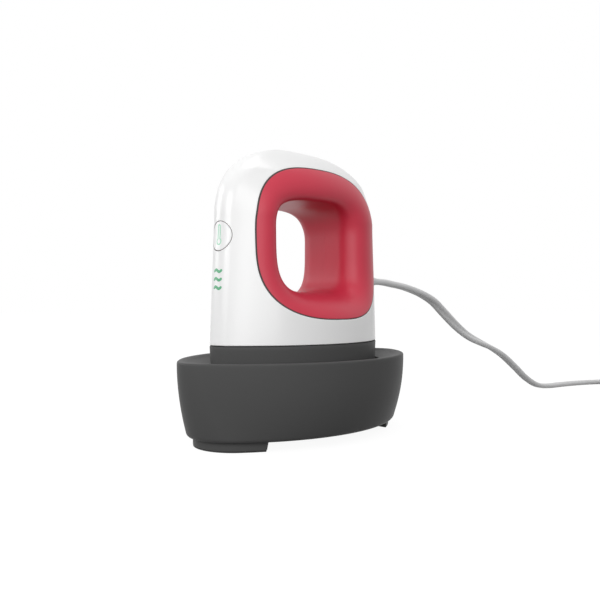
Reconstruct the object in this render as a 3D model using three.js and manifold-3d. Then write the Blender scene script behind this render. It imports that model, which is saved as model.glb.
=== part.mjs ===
// Mini heat press standing in its base, with its flat mains cord.
// Millimetres, +Z up. The origin is the centre of the base's footprint on the table.
// The button and lamps face -X, the cord leaves towards +X, and the hand hole runs along Y.
import * as THREE from 'three';
import { mergeVertices } from 'three/addons/utils/BufferGeometryUtils.js';
import Module from 'manifold-3d';

const wasm = await Module();
wasm.setup();

// Driving dimensions
const GAP = 0.3;                  // between pieces that meet
const WALL = 2;                   // moulded housings
const SCREW_HOLE_PLAY = 0.3;      // radial, round each screw

// Housing: lens-shaped sections, narrowing to a dome
const BODY = {
  bottomZ: 39.5, topZ: 121,
  bottomHalfLength: 45, bottomHalfWidth: 26.8,
  endShoulderZ: 88.5, endShoulderHalfLength: 42.7, endRoundness: 2.5,
  sideShoulderZ: 90.8, sideShoulderHalfWidth: 26.6, sideRoundness: 1.42,
  cornerRadius: 10,
};
const DOME_STEPS = 7;

// Hand hole: its rim on the housing's sides and its throat at the middle.
// Roundness lists the four quarters: top rear, top front, bottom front, bottom rear.
const RIM = { z: 80.4, front: 34.8, rear: 34.8, up: 30.9, down: 30.9, roundness: [2.5, 3, 3, 2.5] };
const THROAT = { z: 83.9, front: 25.3, rear: 16.4, up: 13.9, down: 23.3, roundness: [2.8, 3.8, 3.8, 4.9] };
const LIP_ROUNDNESS = 1.45;
const THROAT_SOFTNESS = 2.2;
const STRAIGHT = { front: 0.6, rear: 0.34, up: 0.6, down: 0.27 };  // share of the half width before the lip
const LINER_WALL = 2;
const LINER_STEPS_ROUND = 36;
const LINER_STEPS_DEEP = 5;
const RIM_PLAY = 0.35;

// Heat plate and the skirt round it
const PLATE = { bottomZ: 17, flangeTopZ: 20.4, topZ: 24, halfLength: 41.5, halfWidth: 24.5, cornerRadius: 9 };
const SKIRT = {
  bottomZ: 20.8, topZ: BODY.bottomZ - GAP,
  bottomHalfLength: 44.1, bottomHalfWidth: 26.1, topHalfLength: 45.1, topHalfWidth: 26.9,
  deckBottomZ: 31.5, deckTopZ: 33.5,
};
const HOUSING_SCREWS = [[-33, -8.5], [-33, 8.5], [33, -8.5], [33, 8.5]];
const PLATE_SCREWS = [[-19, -5.5], [-19, 5.5], [19, -5.5], [19, 5.5]];
const BOARD_SCREWS = [[-20, 0], [20, 0]];
const ELEMENT = { radius: 2.1, z: 26.14, terminalX: 26, terminalY: 10, terminalTopZ: 32 };
const SHIELD_Z = 28.5;
const BOARD_Z = 42.6;
const BOARD_THICKNESS = 1.6;
const CLAMP_Z = 51;
const CLAMP_SCREWS = [-5.6, 5.6];

// Button and lamps on the front end
const BUTTON = { z: 82.2, radius: 5.75, play: 0.3, backX: -39.4 };
const ICON = { bottomZ: 78.6, topZ: 86.8, bulbRadius: 1.45, stemHalfWidth: 0.85, stroke: 0.5, play: 0.15 };
const WAVE = { zs: [68.6, 65.3, 62], width: 4.9, height: 0.42, stroke: 1.1, play: 0.15 };

// Base
const BASE = {
  footZ: 0.6, shellBottomZ: 3.9, rimZ: 33.65,
  rimHalfLength: 59.9, rimHalfWidth: 39.1, rimCornerRadius: 12.6,
  bottomHalfLength: 54, bottomHalfWidth: 32.3, bottomCornerRadius: 19,
  lengthRoundness: 1.75, widthRoundness: 2.5,
  footHalfLength: 51.5, footHalfWidth: 28.8, footCornerRadius: 18.5, footStartX: 34.7, footLean: 0.9,
};
const WELL = {
  floorZ: 12.3, floorTopZ: 14, mouthZ: 30.9, topZ: 32.9, wall: 1.5, draft: 0.05,
  mouthHalfLength: 46.9, mouthHalfWidth: 28.7, mouthCornerRadius: 10.6,
};
const BASE_SCREWS = [[-42, -9], [-42, 9], [42, -9], [42, 9]];

// Cord: flat twin lead, and how its unseen length is wound up
const CORD = { width: 5, thickness: 2.9, exitX: 51.3, exitZ: 66.3, length: 1800 };
const COIL = {
  turnsDown: 4, turnsUp: 3.75, climbTurns: 0.5, pitch: 3.6, climbDip: 1.8,
  lowZ: 3.1, highZ: 9, eastX: 292, y: -70, lead: 10, stepsPerTurn: 20,
};
const PLUG = {
  length: 30, width: 24, height: 2 * COIL.highZ, reliefLength: 20,
  bladeLength: 16, bladeHeight: 6.3, bladeThickness: 1.5, bladeY: 6.35,
};

// Route of the cord that isn't coiled, from the bush to the coil
const CORD_ROUTE = [
  [CORD.exitX, 0, CORD.exitZ], [58, 0, 66.1], [65, 0, 65.3], [74, 0, 64.2], [83, 0, 62.4], [92, 0, 60],
  [101, 0, 56.5], [111, 0, 50.3], [124, 0, 42.4], [136, 0, 36.7], [148, 0, 32.8], [158, 0, 29.8],
  [172, -0.4, 24.3], [186, -1, 16.4], [199, -2, 8.2], [211, -3.4, 3], [223, -5, 1.5], [236, -7.6, 1.5],
  [249, -11, 1.5], [262, -16, 1.5], [273, -22.5, 1.5], [281.5, -30.2, 1.7], [287.5, -38.8, 2.3],
  [291, -47.6, 2.9], [292, -54.3, COIL.lowZ], [292, COIL.y + COIL.lead + GAP, COIL.lowZ],
];

// Materials
const finish = (color, roughness, metalness = 0) =>
  new THREE.MeshStandardMaterial({ color, roughness, metalness });
const WHITE = finish(0xf4f4f4, 0.3);
const RASPBERRY = finish(0xcf4358, 0.45);
const CHARCOAL = finish(0x4c4c4e, 0.6);
const DARK_PLASTIC = finish(0x2c2c2e, 0.65);
const GREEN_LIGHT = finish(0x3fd08a, 0.35);
const ALUMINIUM = finish(0xc9cbcc, 0.35, 1);
const STEEL = finish(0xb4b6b8, 0.35, 1);
const BRASS = finish(0xc9a44c, 0.3, 1);
const RUBBER = finish(0x2a2a2a, 0.85);
const SILICONE = finish(0x6d6d70, 0.7);
const FIBRE = finish(0xd8d2c4, 0.95);
const BOARD_GREEN = finish(0x1f6b3a, 0.5);
const CORD_GREY = finish(0xc4c4c6, 0.5);

// Solids
function closedGeometry(points, triangles) {
  let volume = 0;
  for (const corners of triangles) {
    const [p, q, r] = corners.map((corner) => new THREE.Vector3(...points[corner]));
    volume += p.dot(q.cross(r));
  }
  const facing = volume > 0 ? triangles : triangles.map(([a, b, c]) => [a, c, b]);
  const geometry = new THREE.BufferGeometry();
  geometry.setAttribute('position', new THREE.Float32BufferAttribute(points.flat(), 3));
  geometry.setIndex(facing.flat());
  return geometry;
}

function bandTriangles(triangles, from, to, count) {
  for (let i = 0; i < count; i += 1) {
    const next = (i + 1) % count;
    triangles.push([from + i, from + next, to + next], [from + i, to + next, to + i]);
  }
}

// Closed loops of equal count, stacked and capped at both ends
function loft(loops) {
  const count = loops[0].length;
  const points = loops.flat();
  const triangles = [];
  for (let k = 0; k + 1 < loops.length; k += 1) {
    bandTriangles(triangles, k * count, (k + 1) * count, count);
  }
  for (const [start, turned] of [[0, true], [(loops.length - 1) * count, false]]) {
    const loop = points.slice(start, start + count);
    const centre = [0, 1, 2].map((axis) => loop.reduce((sum, p) => sum + p[axis], 0) / count);
    const hub = points.push(centre) - 1;
    for (let i = 0; i < count; i += 1) {
      const next = start + ((i + 1) % count);
      triangles.push(turned ? [hub, next, start + i] : [hub, start + i, next]);
    }
  }
  return closedGeometry(points, triangles);
}

// Loops that run round a hole and close on the first one
function ringOfLoops(loops) {
  const count = loops[0].length;
  const triangles = [];
  for (let k = 0; k < loops.length; k += 1) {
    bandTriangles(triangles, k * count, ((k + 1) % loops.length) * count, count);
  }
  return closedGeometry(loops.flat(), triangles);
}

function solid(geometry) {
  const bare = geometry.clone();
  bare.deleteAttribute('normal');
  bare.deleteAttribute('uv');
  const merged = mergeVertices(bare, 1e-4);
  return new wasm.Manifold(new wasm.Mesh({
    numProp: 3,
    vertProperties: new Float32Array(merged.attributes.position.array),
    triVerts: new Uint32Array(merged.index.array),
  }));
}

function surface(body) {
  const mesh = body.getMesh();
  const geometry = new THREE.BufferGeometry();
  geometry.setAttribute('position', new THREE.BufferAttribute(mesh.vertProperties.slice(), 3));
  geometry.setIndex(new THREE.BufferAttribute(mesh.triVerts.slice(), 1));
  return geometry;
}

const cutAll = (body, cutters) => cutters.reduce((left, cutter) => left.subtract(cutter), body);
const joinAll = (body, others) => others.reduce((whole, other) => whole.add(other), body);

function block(x0, x1, y0, y1, z0, z1) {
  const geometry = new THREE.BoxGeometry(x1 - x0, y1 - y0, z1 - z0);
  return solid(geometry.translate((x0 + x1) / 2, (y0 + y1) / 2, (z0 + z1) / 2));
}

function roundZ(x, y, radius, z0, z1, sides = 12) {
  const geometry = new THREE.CylinderGeometry(radius, radius, z1 - z0, sides);
  return solid(geometry.rotateX(Math.PI / 2).translate(x, y, (z0 + z1) / 2));
}

function roundX(x0, x1, y, z, radius, sides = 16) {
  const geometry = new THREE.CylinderGeometry(radius, radius, x1 - x0, sides);
  return solid(geometry.rotateZ(-Math.PI / 2).translate((x0 + x1) / 2, y, z));
}

function roundY(x, y0, y1, z, radius, sides = 10) {
  const geometry = new THREE.CylinderGeometry(radius, radius, y1 - y0, sides);
  return solid(geometry.translate(x, (y0 + y1) / 2, z));
}

// A shape drawn in (-Y, Z), as seen by someone looking at the front end, pushed along X
function facingFront(shape, x0, x1, curveSegments = 8) {
  const geometry = new THREE.ExtrudeGeometry(shape, { depth: x1 - x0, bevelEnabled: false, curveSegments });
  const basis = new THREE.Matrix4().makeBasis(
    new THREE.Vector3(0, -1, 0), new THREE.Vector3(0, 0, 1), new THREE.Vector3(-1, 0, 0));
  return solid(geometry.applyMatrix4(basis).translate(x1, 0, 0));
}

const smoothCurve = (route) =>
  new THREE.CatmullRomCurve3(route.map((p) => new THREE.Vector3(...p)), false, 'centripetal');

function tube(route, halfWidth, halfHeight, sides, steps) {
  const section = new THREE.Shape();
  for (let i = 0; i < sides; i += 1) {
    const angle = (i + 0.5) * 2 * Math.PI / sides;
    const [u, v] = [halfWidth * Math.cos(angle), halfHeight * Math.sin(angle)];
    if (i === 0) section.moveTo(u, v);
    else section.lineTo(u, v);
  }
  return new THREE.ExtrudeGeometry(section, { steps, bevelEnabled: false, extrudePath: smoothCurve(route) });
}

// Lens outline in plan: two long arcs joined by round ends
function lens(halfLength, halfWidth, cornerRadius, z, arcSteps = 12, endSteps = 5) {
  const radius = Math.min(cornerRadius, 0.6 * halfWidth, 0.6 * halfLength);
  const a = halfLength - radius;
  const b = halfWidth - radius;
  const spine = (a * a + b * b) / (2 * b);
  const halfAngle = Math.atan2(a, spine - b);
  const points = [];
  const arc = (cx, cy, r, start, sweep, steps) => {
    for (let i = 0; i < steps; i += 1) {
      const angle = start + sweep * i / steps;
      points.push([cx + r * Math.cos(angle), cy + r * Math.sin(angle), z]);
    }
  };
  const quarter = Math.PI / 2;
  arc(0, b - spine, spine + radius, quarter - halfAngle, 2 * halfAngle, arcSteps);
  arc(-a, 0, radius, quarter + halfAngle, Math.PI - 2 * halfAngle, endSteps);
  arc(0, spine - b, spine + radius, 3 * quarter - halfAngle, 2 * halfAngle, arcSteps);
  arc(a, 0, radius, -quarter + halfAngle, Math.PI - 2 * halfAngle, endSteps);
  return points;
}

// Upright block of lens outline, for hidden pieces, with fewer steps
const lensPrism = (halfLength, halfWidth, cornerRadius, z0, z1) =>
  solid(loft([z0, z1].map((z) => lens(halfLength, halfWidth, cornerRadius, z, 8, 4))));

// Press housing

function taper(z, shoulderZ, bottomHalf, shoulderHalf, topZ, roundness) {
  const rise = Math.min((z - BODY.bottomZ) / (shoulderZ - BODY.bottomZ), 1);
  const straight = bottomHalf + (shoulderHalf - bottomHalf) * rise;
  if (z <= shoulderZ) return straight;
  const up = Math.min((z - shoulderZ) / (topZ - shoulderZ), 1);
  return straight * (1 - up ** roundness) ** (1 / roundness);
}

function bodySection(z, inset = 0) {
  const topZ = BODY.topZ - inset;
  return {
    halfLength: taper(z, BODY.endShoulderZ, BODY.bottomHalfLength - inset,
      BODY.endShoulderHalfLength - inset, topZ, BODY.endRoundness),
    halfWidth: taper(z, BODY.sideShoulderZ, BODY.bottomHalfWidth - inset,
      BODY.sideShoulderHalfWidth - inset, topZ, BODY.sideRoundness),
    cornerRadius: BODY.cornerRadius - inset,
  };
}

function bodySolid(inset, startZ = BODY.bottomZ, arcSteps = 12, endSteps = 5) {
  const heights = [startZ, 60, 76];
  const domeRise = BODY.topZ - inset - BODY.endShoulderZ;
  for (let i = 0; i < DOME_STEPS; i += 1) {
    heights.push(BODY.endShoulderZ + domeRise * Math.sin(i / (DOME_STEPS - 0.5) * Math.PI / 2));
  }
  return solid(loft(heights.map((z) => {
    const section = bodySection(z, inset);
    return lens(section.halfLength, section.halfWidth, section.cornerRadius, z, arcSteps, endSteps);
  })));
}

// Half width of the housing at a point of its side view
function bodyHalfWidthAt(x, z) {
  const { halfLength, halfWidth, cornerRadius } = bodySection(z);
  const radius = Math.min(cornerRadius, 0.6 * halfWidth, 0.6 * halfLength);
  const a = halfLength - radius;
  const b = halfWidth - radius;
  const spine = (a * a + b * b) / (2 * b);
  const arcEnd = (spine + radius) * Math.sin(Math.atan2(a, spine - b));
  if (Math.abs(x) <= arcEnd) return Math.sqrt((spine + radius) ** 2 - x * x) - (spine - b);
  return Math.sqrt(Math.max(radius ** 2 - (Math.abs(x) - a) ** 2, 0));
}

// Point of a rounded-square outline in the side view, at an angle from the rear
function outlinePoint(outline, angle, grow = 0) {
  const c = Math.cos(angle);
  const s = Math.sin(angle);
  const quarter = s >= 0 ? (c >= 0 ? 0 : 1) : (c < 0 ? 2 : 3);
  const power = 2 / outline.roundness[quarter];
  const reachX = (c < 0 ? outline.front : outline.rear) + grow;
  const reachZ = (s < 0 ? outline.down : outline.up) + grow;
  const x = Math.sign(c) * reachX * Math.abs(c) ** power;
  return [x, outline.z + Math.sign(s) * reachZ * Math.abs(s) ** power];
}

function rimCutter() {
  const steps = 54;
  const loops = [-40, 40].map((y) => Array.from({ length: steps }, (_, i) => {
    const [x, z] = outlinePoint(RIM, 2 * Math.PI * i / steps, RIM_PLAY);
    return [x, y, z];
  }));
  return solid(loft(loops));
}

// Grip liner: straight from the middle of the hole, then a lip that opens out to the rim
function straightShare(angle) {
  const c = Math.cos(angle);
  const s = Math.sin(angle);
  return (c < 0 ? STRAIGHT.front : STRAIGHT.rear) * c * c + (s < 0 ? STRAIGHT.down : STRAIGHT.up) * s * s;
}

function linerFace(side, angle, depth) {
  const [rimX, rimZ] = outlinePoint(RIM, angle);
  const [throatX, throatZ] = outlinePoint(THROAT, angle);
  const flare = 1 - Math.cos(depth) ** (2 / LIP_ROUNDNESS);
  const straight = straightShare(angle);
  const out = straight + (1 - straight) * Math.sin(depth) ** (2 / THROAT_SOFTNESS);
  const x = throatX + (rimX - throatX) * flare;
  const z = throatZ + (rimZ - throatZ) * flare;
  return new THREE.Vector3(x, side * bodyHalfWidthAt(x, z) * out, z);
}

function linerNormal(side, angle, depth) {
  const nudge = 0.02;
  const along = linerFace(side, angle + nudge, depth).sub(linerFace(side, angle - nudge, depth));
  const deeper = Math.min(depth + nudge, Math.PI / 2);
  const shallower = Math.max(depth - nudge, 0);
  const across = linerFace(side, angle, deeper).sub(linerFace(side, angle, shallower));
  return across.cross(along).normalize().multiplyScalar(side);
}

function linerSolid(side) {
  const angleStep = 2 * Math.PI / LINER_STEPS_ROUND;
  const depthStep = Math.PI / 2 / LINER_STEPS_DEEP;
  const angles = Array.from({ length: LINER_STEPS_ROUND }, (_, i) => (i + 0.5) * angleStep);
  const depths = Array.from({ length: LINER_STEPS_DEEP + 1 }, (_, j) => j * depthStep);
  const face = depths.map((depth) => angles.map((angle) => linerFace(side, angle, depth).toArray()));
  const back = depths.map((depth) => angles.map((angle) =>
    linerFace(side, angle, depth).addScaledVector(linerNormal(side, angle, depth), LINER_WALL).toArray()));
  const atMiddle = (loop) => loop.map(([x, , z]) => [x, side * GAP / 2, z]);
  return solid(ringOfLoops([atMiddle(face[0]), ...face, ...back.toReversed(), atMiddle(back[0])]));
}

// Hook on a liner's back that reaches behind the housing's wall
function linerHook(side, angle) {
  const rim = linerFace(side, angle, Math.PI / 2);
  const inward = linerNormal(side, angle, Math.PI / 2);
  const inside = linerFace(side, angle, 1.3);
  const outward = rim.clone().sub(inside).normalize();
  outward.addScaledVector(inward, -outward.dot(inward)).normalize();
  const along = new THREE.Vector3().crossVectors(outward, inward);
  const profile = new THREE.Shape([
    [-2.6, 0.8], [-1, 0.8], [-1, 2.9], [1.7, 2.9], [1.7, 4.1], [-2.6, 4.1],
  ].map(([u, v]) => new THREE.Vector2(u, v)));
  const width = 5;
  const geometry = new THREE.ExtrudeGeometry(profile, { depth: width, bevelEnabled: false });
  const basis = new THREE.Matrix4().makeBasis(outward, inward, along);
  geometry.translate(0, 0, -width / 2).applyMatrix4(basis).translate(rim.x, rim.y, rim.z);
  return solid(geometry);
}

function gripLiner(side) {
  const besideBottom = 0.12;
  const hooks = [-1, 1].map((turn) => linerHook(side, -Math.PI / 2 + turn * besideBottom));
  return joinAll(linerSolid(side), hooks);
}

// Marks on the front end, drawn in (-Y, Z)
function waveShape(z, grow) {
  const half = WAVE.stroke / 2 + grow;
  const steps = 12;
  const reach = WAVE.width / 2 - WAVE.stroke / 2;
  const upper = [];
  const lower = [];
  for (let i = 0; i <= steps; i += 1) {
    const u = -reach + 2 * reach * i / steps;
    const phase = Math.PI * u / reach;
    const slope = -WAVE.height * Math.PI / reach * Math.cos(phase);
    const length = Math.hypot(1, slope);
    const v = z - WAVE.height * Math.sin(phase);
    upper.push(new THREE.Vector2(u - half * slope / length, v + half / length));
    lower.push(new THREE.Vector2(u + half * slope / length, v - half / length));
  }
  const cap = half * 0.8;
  const left = new THREE.Vector2(-reach - cap, z);
  const right = new THREE.Vector2(reach + cap, z);
  return new THREE.Shape([left, ...lower, right, ...upper.reverse()]);
}

function thermometerPath(path, grow) {
  const bulb = ICON.bulbRadius + grow;
  const stem = ICON.stemHalfWidth + grow;
  const bulbZ = ICON.bottomZ + ICON.bulbRadius;
  const tipZ = ICON.topZ - ICON.stemHalfWidth;
  const neck = Math.asin(stem / bulb);
  path.absarc(0, bulbZ, bulb, Math.PI / 2 + neck, Math.PI / 2 - neck + 2 * Math.PI, false);
  path.absarc(0, tipZ, stem, 0, Math.PI, false);
  return path;
}

function iconShape() {
  const shape = thermometerPath(new THREE.Shape(), 0);
  shape.holes.push(thermometerPath(new THREE.Path(), -ICON.stroke));
  return shape;
}

function iconPocketShape() {
  const shape = thermometerPath(new THREE.Shape(), ICON.play);
  shape.holes.push(thermometerPath(new THREE.Path(), -ICON.stroke - ICON.play));
  return shape;
}

function housing() {
  const fill = bodySolid(WALL / 2);
  const bossTopZ = 46;
  const bosses = HOUSING_SCREWS.map(([x, y]) => {
    const [y0, y1] = [y, y + Math.sign(y) * 9].sort((p, q) => p - q);
    const rib = block(x - 1.5, x + 1.5, y0, y1, BODY.bottomZ + 0.7, bossTopZ);
    return roundZ(x, y, 3.4, BODY.bottomZ + 0.7, bossTopZ).add(rib).intersect(fill);
  });
  const boardRails = [-1, 1].map((side) => {
    const [near, far] = [side * 6.85, side * 8.3].sort((p, q) => p - q);
    return block(-38.5, -33, near, far, 58, 92).intersect(fill);
  });
  const clampSeat = block(29, 44, -8, 8, CLAMP_Z - 2.5, CLAMP_Z + 2.5).intersect(fill);
  const hollow = bodySolid(0).subtract(bodySolid(WALL, BODY.bottomZ - 1, 8, 4));
  const screwHoles = HOUSING_SCREWS.map(([x, y]) => roundZ(x, y, 1.3 + SCREW_HOLE_PLAY, 39, bossTopZ + 1, 8));
  const clampHoles = CLAMP_SCREWS.map((y) => roundX(28, 36, y, CLAMP_Z, 1.1 + SCREW_HOLE_PLAY, 8));
  return cutAll(joinAll(hollow, [...bosses, ...boardRails, clampSeat]), [
    ...screwHoles, ...clampHoles, rimCutter(),
    roundX(-50, -38, 0, BUTTON.z, BUTTON.radius + BUTTON.play, 32),
    roundX(38, 50, 0, CORD.exitZ, 3.5 + RIM_PLAY),
    ...WAVE.zs.map((z) => facingFront(waveShape(z, WAVE.play), -50, -38)),
  ]);
}

const waveGuide = (z) => facingFront(waveShape(z, 0), -50, -37.2).intersect(bodySolid(0));

function buttonCap() {
  const disc = roundX(-50, BUTTON.backX, 0, BUTTON.z, BUTTON.radius, 32).intersect(bodySolid(0));
  const lugs = [-1, 1].map((up) => {
    const [low, high] = [BUTTON.z + up * 5, BUTTON.z + up * 7.3].sort((p, q) => p - q);
    return block(-40, BUTTON.backX, -2.4, 2.4, low, high);
  });
  return joinAll(disc, lugs).subtract(facingFront(iconPocketShape(), -50, -42.2));
}

const buttonIcon = () => facingFront(iconShape(), -50, -42.4).intersect(bodySolid(0));

function switchBody() {
  const shell = block(-38.5, -35.9, -3, 3, BUTTON.z - 3, BUTTON.z + 3);
  return shell.subtract(roundX(-39, -36.4, 0, BUTTON.z, 2, 16));
}

// Skirt, heat plate and what lies between them and the control board
function skirt() {
  const outer = solid(loft([
    lens(SKIRT.bottomHalfLength, SKIRT.bottomHalfWidth, 9.5, SKIRT.bottomZ),
    lens(SKIRT.topHalfLength, SKIRT.topHalfWidth, BODY.cornerRadius, SKIRT.topZ),
  ]));
  const inner = solid(loft([
    lens(SKIRT.bottomHalfLength - 2.2, SKIRT.bottomHalfWidth - 2.2, 7.5, SKIRT.bottomZ - 1),
    lens(SKIRT.topHalfLength - 2.4, SKIRT.topHalfWidth - 2.4, 7.6, SKIRT.topZ + 1),
  ]));
  const deck = lensPrism(43.5, 25.3, 9, SKIRT.deckBottomZ, SKIRT.deckTopZ);
  const tongue = lensPrism(42.6, 24.4, 7.6, SKIRT.deckTopZ - 1, 41.8)
    .subtract(lensPrism(41.3, 23.1, 6.3, SKIRT.deckTopZ, 43));
  const notches = HOUSING_SCREWS.map(([x, y]) => {
    const [y0, y1] = [y, y + Math.sign(y) * 9].sort((p, q) => p - q);
    return roundZ(x, y, 4, BODY.bottomZ + 0.4, 43, 8)
      .add(block(x - 1.5 - GAP, x + 1.5 + GAP, y0, y1, BODY.bottomZ + 0.4, 43));
  });
  const housingPosts = HOUSING_SCREWS.map(([x, y]) =>
    roundZ(x, y, 3.1, SKIRT.deckTopZ - 1, BODY.bottomZ + 0.4, 8));
  const boardPosts = BOARD_SCREWS.map(([x, y]) => roundZ(x, y, 2.6, SKIRT.deckTopZ - 1, BOARD_Z, 8));
  const terminals = [-1, 1].map((side) =>
    roundZ(ELEMENT.terminalX, side * ELEMENT.terminalY, 3.2, SKIRT.deckBottomZ - 1, SKIRT.deckTopZ + 1));
  return cutAll(joinAll(outer.subtract(inner), [deck, tongue, ...housingPosts, ...boardPosts]), [
    ...HOUSING_SCREWS.map(([x, y]) => roundZ(x, y, 1.3 + SCREW_HOLE_PLAY, 34.5, 41, 8)),
    ...BOARD_SCREWS.map(([x, y]) => roundZ(x, y, 1 + SCREW_HOLE_PLAY, 35.5, 43, 8)),
    ...PLATE_SCREWS.map(([x, y]) => roundZ(x, y, 1.2 + SCREW_HOLE_PLAY, 31, 34, 8)),
    ...notches, ...terminals, block(-12, 12, -7, 7, 31, 34),
  ]);
}

const elementHalfRoute = [
  [ELEMENT.terminalX, ELEMENT.terminalY, ELEMENT.terminalTopZ], [ELEMENT.terminalX, ELEMENT.terminalY, 28.6],
  [24.4, 11, ELEMENT.z + 0.5], [12, 14.4, ELEMENT.z], [0, 15, ELEMENT.z], [-12, 14.4, ELEMENT.z],
  [-22, 13, ELEMENT.z], [-29, 7.5, ELEMENT.z],
];

function elementRoute() {
  const returning = elementHalfRoute.map(([x, y, z]) => [x, -y, z]).reverse();
  return [...elementHalfRoute, [-31.5, 0, ELEMENT.z], ...returning];
}

function heatPlate() {
  const flange = solid(loft([
    lens(PLATE.halfLength - 0.8, PLATE.halfWidth - 0.8, PLATE.cornerRadius, PLATE.bottomZ),
    lens(PLATE.halfLength, PLATE.halfWidth, PLATE.cornerRadius, PLATE.bottomZ + 0.8),
    lens(PLATE.halfLength, PLATE.halfWidth, PLATE.cornerRadius, PLATE.flangeTopZ),
  ]));
  const body = lensPrism(40.4, 23.2, 8, PLATE.flangeTopZ - 1, PLATE.topZ);
  const posts = PLATE_SCREWS.map(([x, y]) => {
    const neck = roundZ(x, y, 2.9, SHIELD_Z - 1, SKIRT.deckBottomZ - GAP);
    return roundZ(x, y, 4.2, PLATE.topZ - 1, SHIELD_Z).add(neck);
  });
  const screwHoles = PLATE_SCREWS.map(([x, y]) => roundZ(x, y, 1.2 + SCREW_HOLE_PLAY, 25.5, 32, 8));
  return cutAll(joinAll(flange, [body, ...posts]), screwHoles);
}

function shieldSheet(halfLength, halfWidth, z0, z1) {
  const terminals = [-1, 1].map((side) =>
    roundZ(ELEMENT.terminalX, side * ELEMENT.terminalY, ELEMENT.radius + 1.3, z0 - 1, z1 + 1));
  const posts = PLATE_SCREWS.map(([x, y]) => roundZ(x, y, 3.2, z0 - 1, z1 + 1));
  const window = block(-11, 11, -5.5, 5.5, z0 - 1, z1 + 1);
  return cutAll(lensPrism(halfLength, halfWidth, 7, z0, z1), [...terminals, ...posts, window]);
}

function sensorClip(x, halfWidth, halfSpan, topZ) {
  const strap = block(x - halfWidth, x + halfWidth, -halfSpan, halfSpan, topZ - 0.6, topZ);
  const feet = [-1, 1].map((side) => {
    const [near, far] = [side * halfSpan, side * (halfSpan - 0.8)].sort((p, q) => p - q);
    return block(x - halfWidth, x + halfWidth, near, far, PLATE.topZ, topZ);
  });
  return joinAll(strap, feet);
}

function controlBoard() {
  const blank = block(-25, 25, -13, 13, BOARD_Z, BOARD_Z + BOARD_THICKNESS);
  const holes = BOARD_SCREWS.map(([x, y]) => roundZ(x, y, 1 + SCREW_HOLE_PLAY, BOARD_Z - 1, BOARD_Z + 3, 8));
  return cutAll(blank, holes);
}

const partTopZ = BOARD_Z + BOARD_THICKNESS;

function terminalBlock() {
  const wireWays = [3.6, 7.4].map((y) => block(12, 15, y - 1.2, y + 1.2, partTopZ + 1.6, partTopZ + 4.6));
  return cutAll(block(4, 14, 1.4, 9.6, partTopZ, partTopZ + 7), wireWays);
}

// Base
function baseSection(z) {
  const rise = Math.min((z - BASE.shellBottomZ) / (BASE.rimZ - BASE.shellBottomZ), 1);
  const ease = (roundness) => 1 - (1 - rise) ** roundness;
  return [
    BASE.bottomHalfLength + (BASE.rimHalfLength - BASE.bottomHalfLength) * ease(BASE.lengthRoundness),
    BASE.bottomHalfWidth + (BASE.rimHalfWidth - BASE.bottomHalfWidth) * ease(BASE.widthRoundness),
    BASE.bottomCornerRadius + (BASE.rimCornerRadius - BASE.bottomCornerRadius) * rise,
  ];
}

function baseLoop(z, inset) {
  const [halfLength, halfWidth, radius] = baseSection(z);
  return lens(halfLength - inset, halfWidth - inset, radius - inset, z);
}

const shellHeights = [5.4, 9, 14, 20, 26.5];

function baseFill(inset, z0, z1) {
  const between = shellHeights.filter((z) => z > z0 && z < z1);
  return solid(loft([z0, ...between, z1].map((z) => baseLoop(z, inset))));
}

function baseShell() {
  const roundedEdge = 0.6;
  const outer = solid(loft([
    baseLoop(BASE.shellBottomZ, 1.1), ...shellHeights.map((z) => baseLoop(z, 0)),
    baseLoop(BASE.rimZ - roundedEdge, 0), baseLoop(BASE.rimZ, roundedEdge),
  ]));
  const inner = solid(loft([
    lens(BASE.footHalfLength + 0.35, BASE.footHalfWidth + 0.35, BASE.footCornerRadius, BASE.shellBottomZ - 1),
    lens(BASE.footHalfLength + 0.35, BASE.footHalfWidth + 0.35, BASE.footCornerRadius, 5.2),
    ...shellHeights.slice(1).map((z) => baseLoop(z, WALL)), baseLoop(BASE.rimZ - roundedEdge, WALL),
    baseLoop(BASE.rimZ + 0.01, WALL - 0.3),
  ]));
  const lugs = BASE_SCREWS.map(([x, y]) => {
    const [x0, x1] = [Math.sign(x) * 38.5, Math.sign(x) * 60].sort((p, q) => p - q);
    const [y0, y1] = [y - 3.5, y + 3.5];
    return block(x0, x1, y0, y1, 7.5, 9.5).intersect(baseFill(1, 6, 12));
  });
  const holes = BASE_SCREWS.map(([x, y]) => roundZ(x, y, 1.5 + SCREW_HOLE_PLAY, 7, 10, 8));
  return cutAll(joinAll(outer.subtract(inner), lugs), holes);
}

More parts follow.
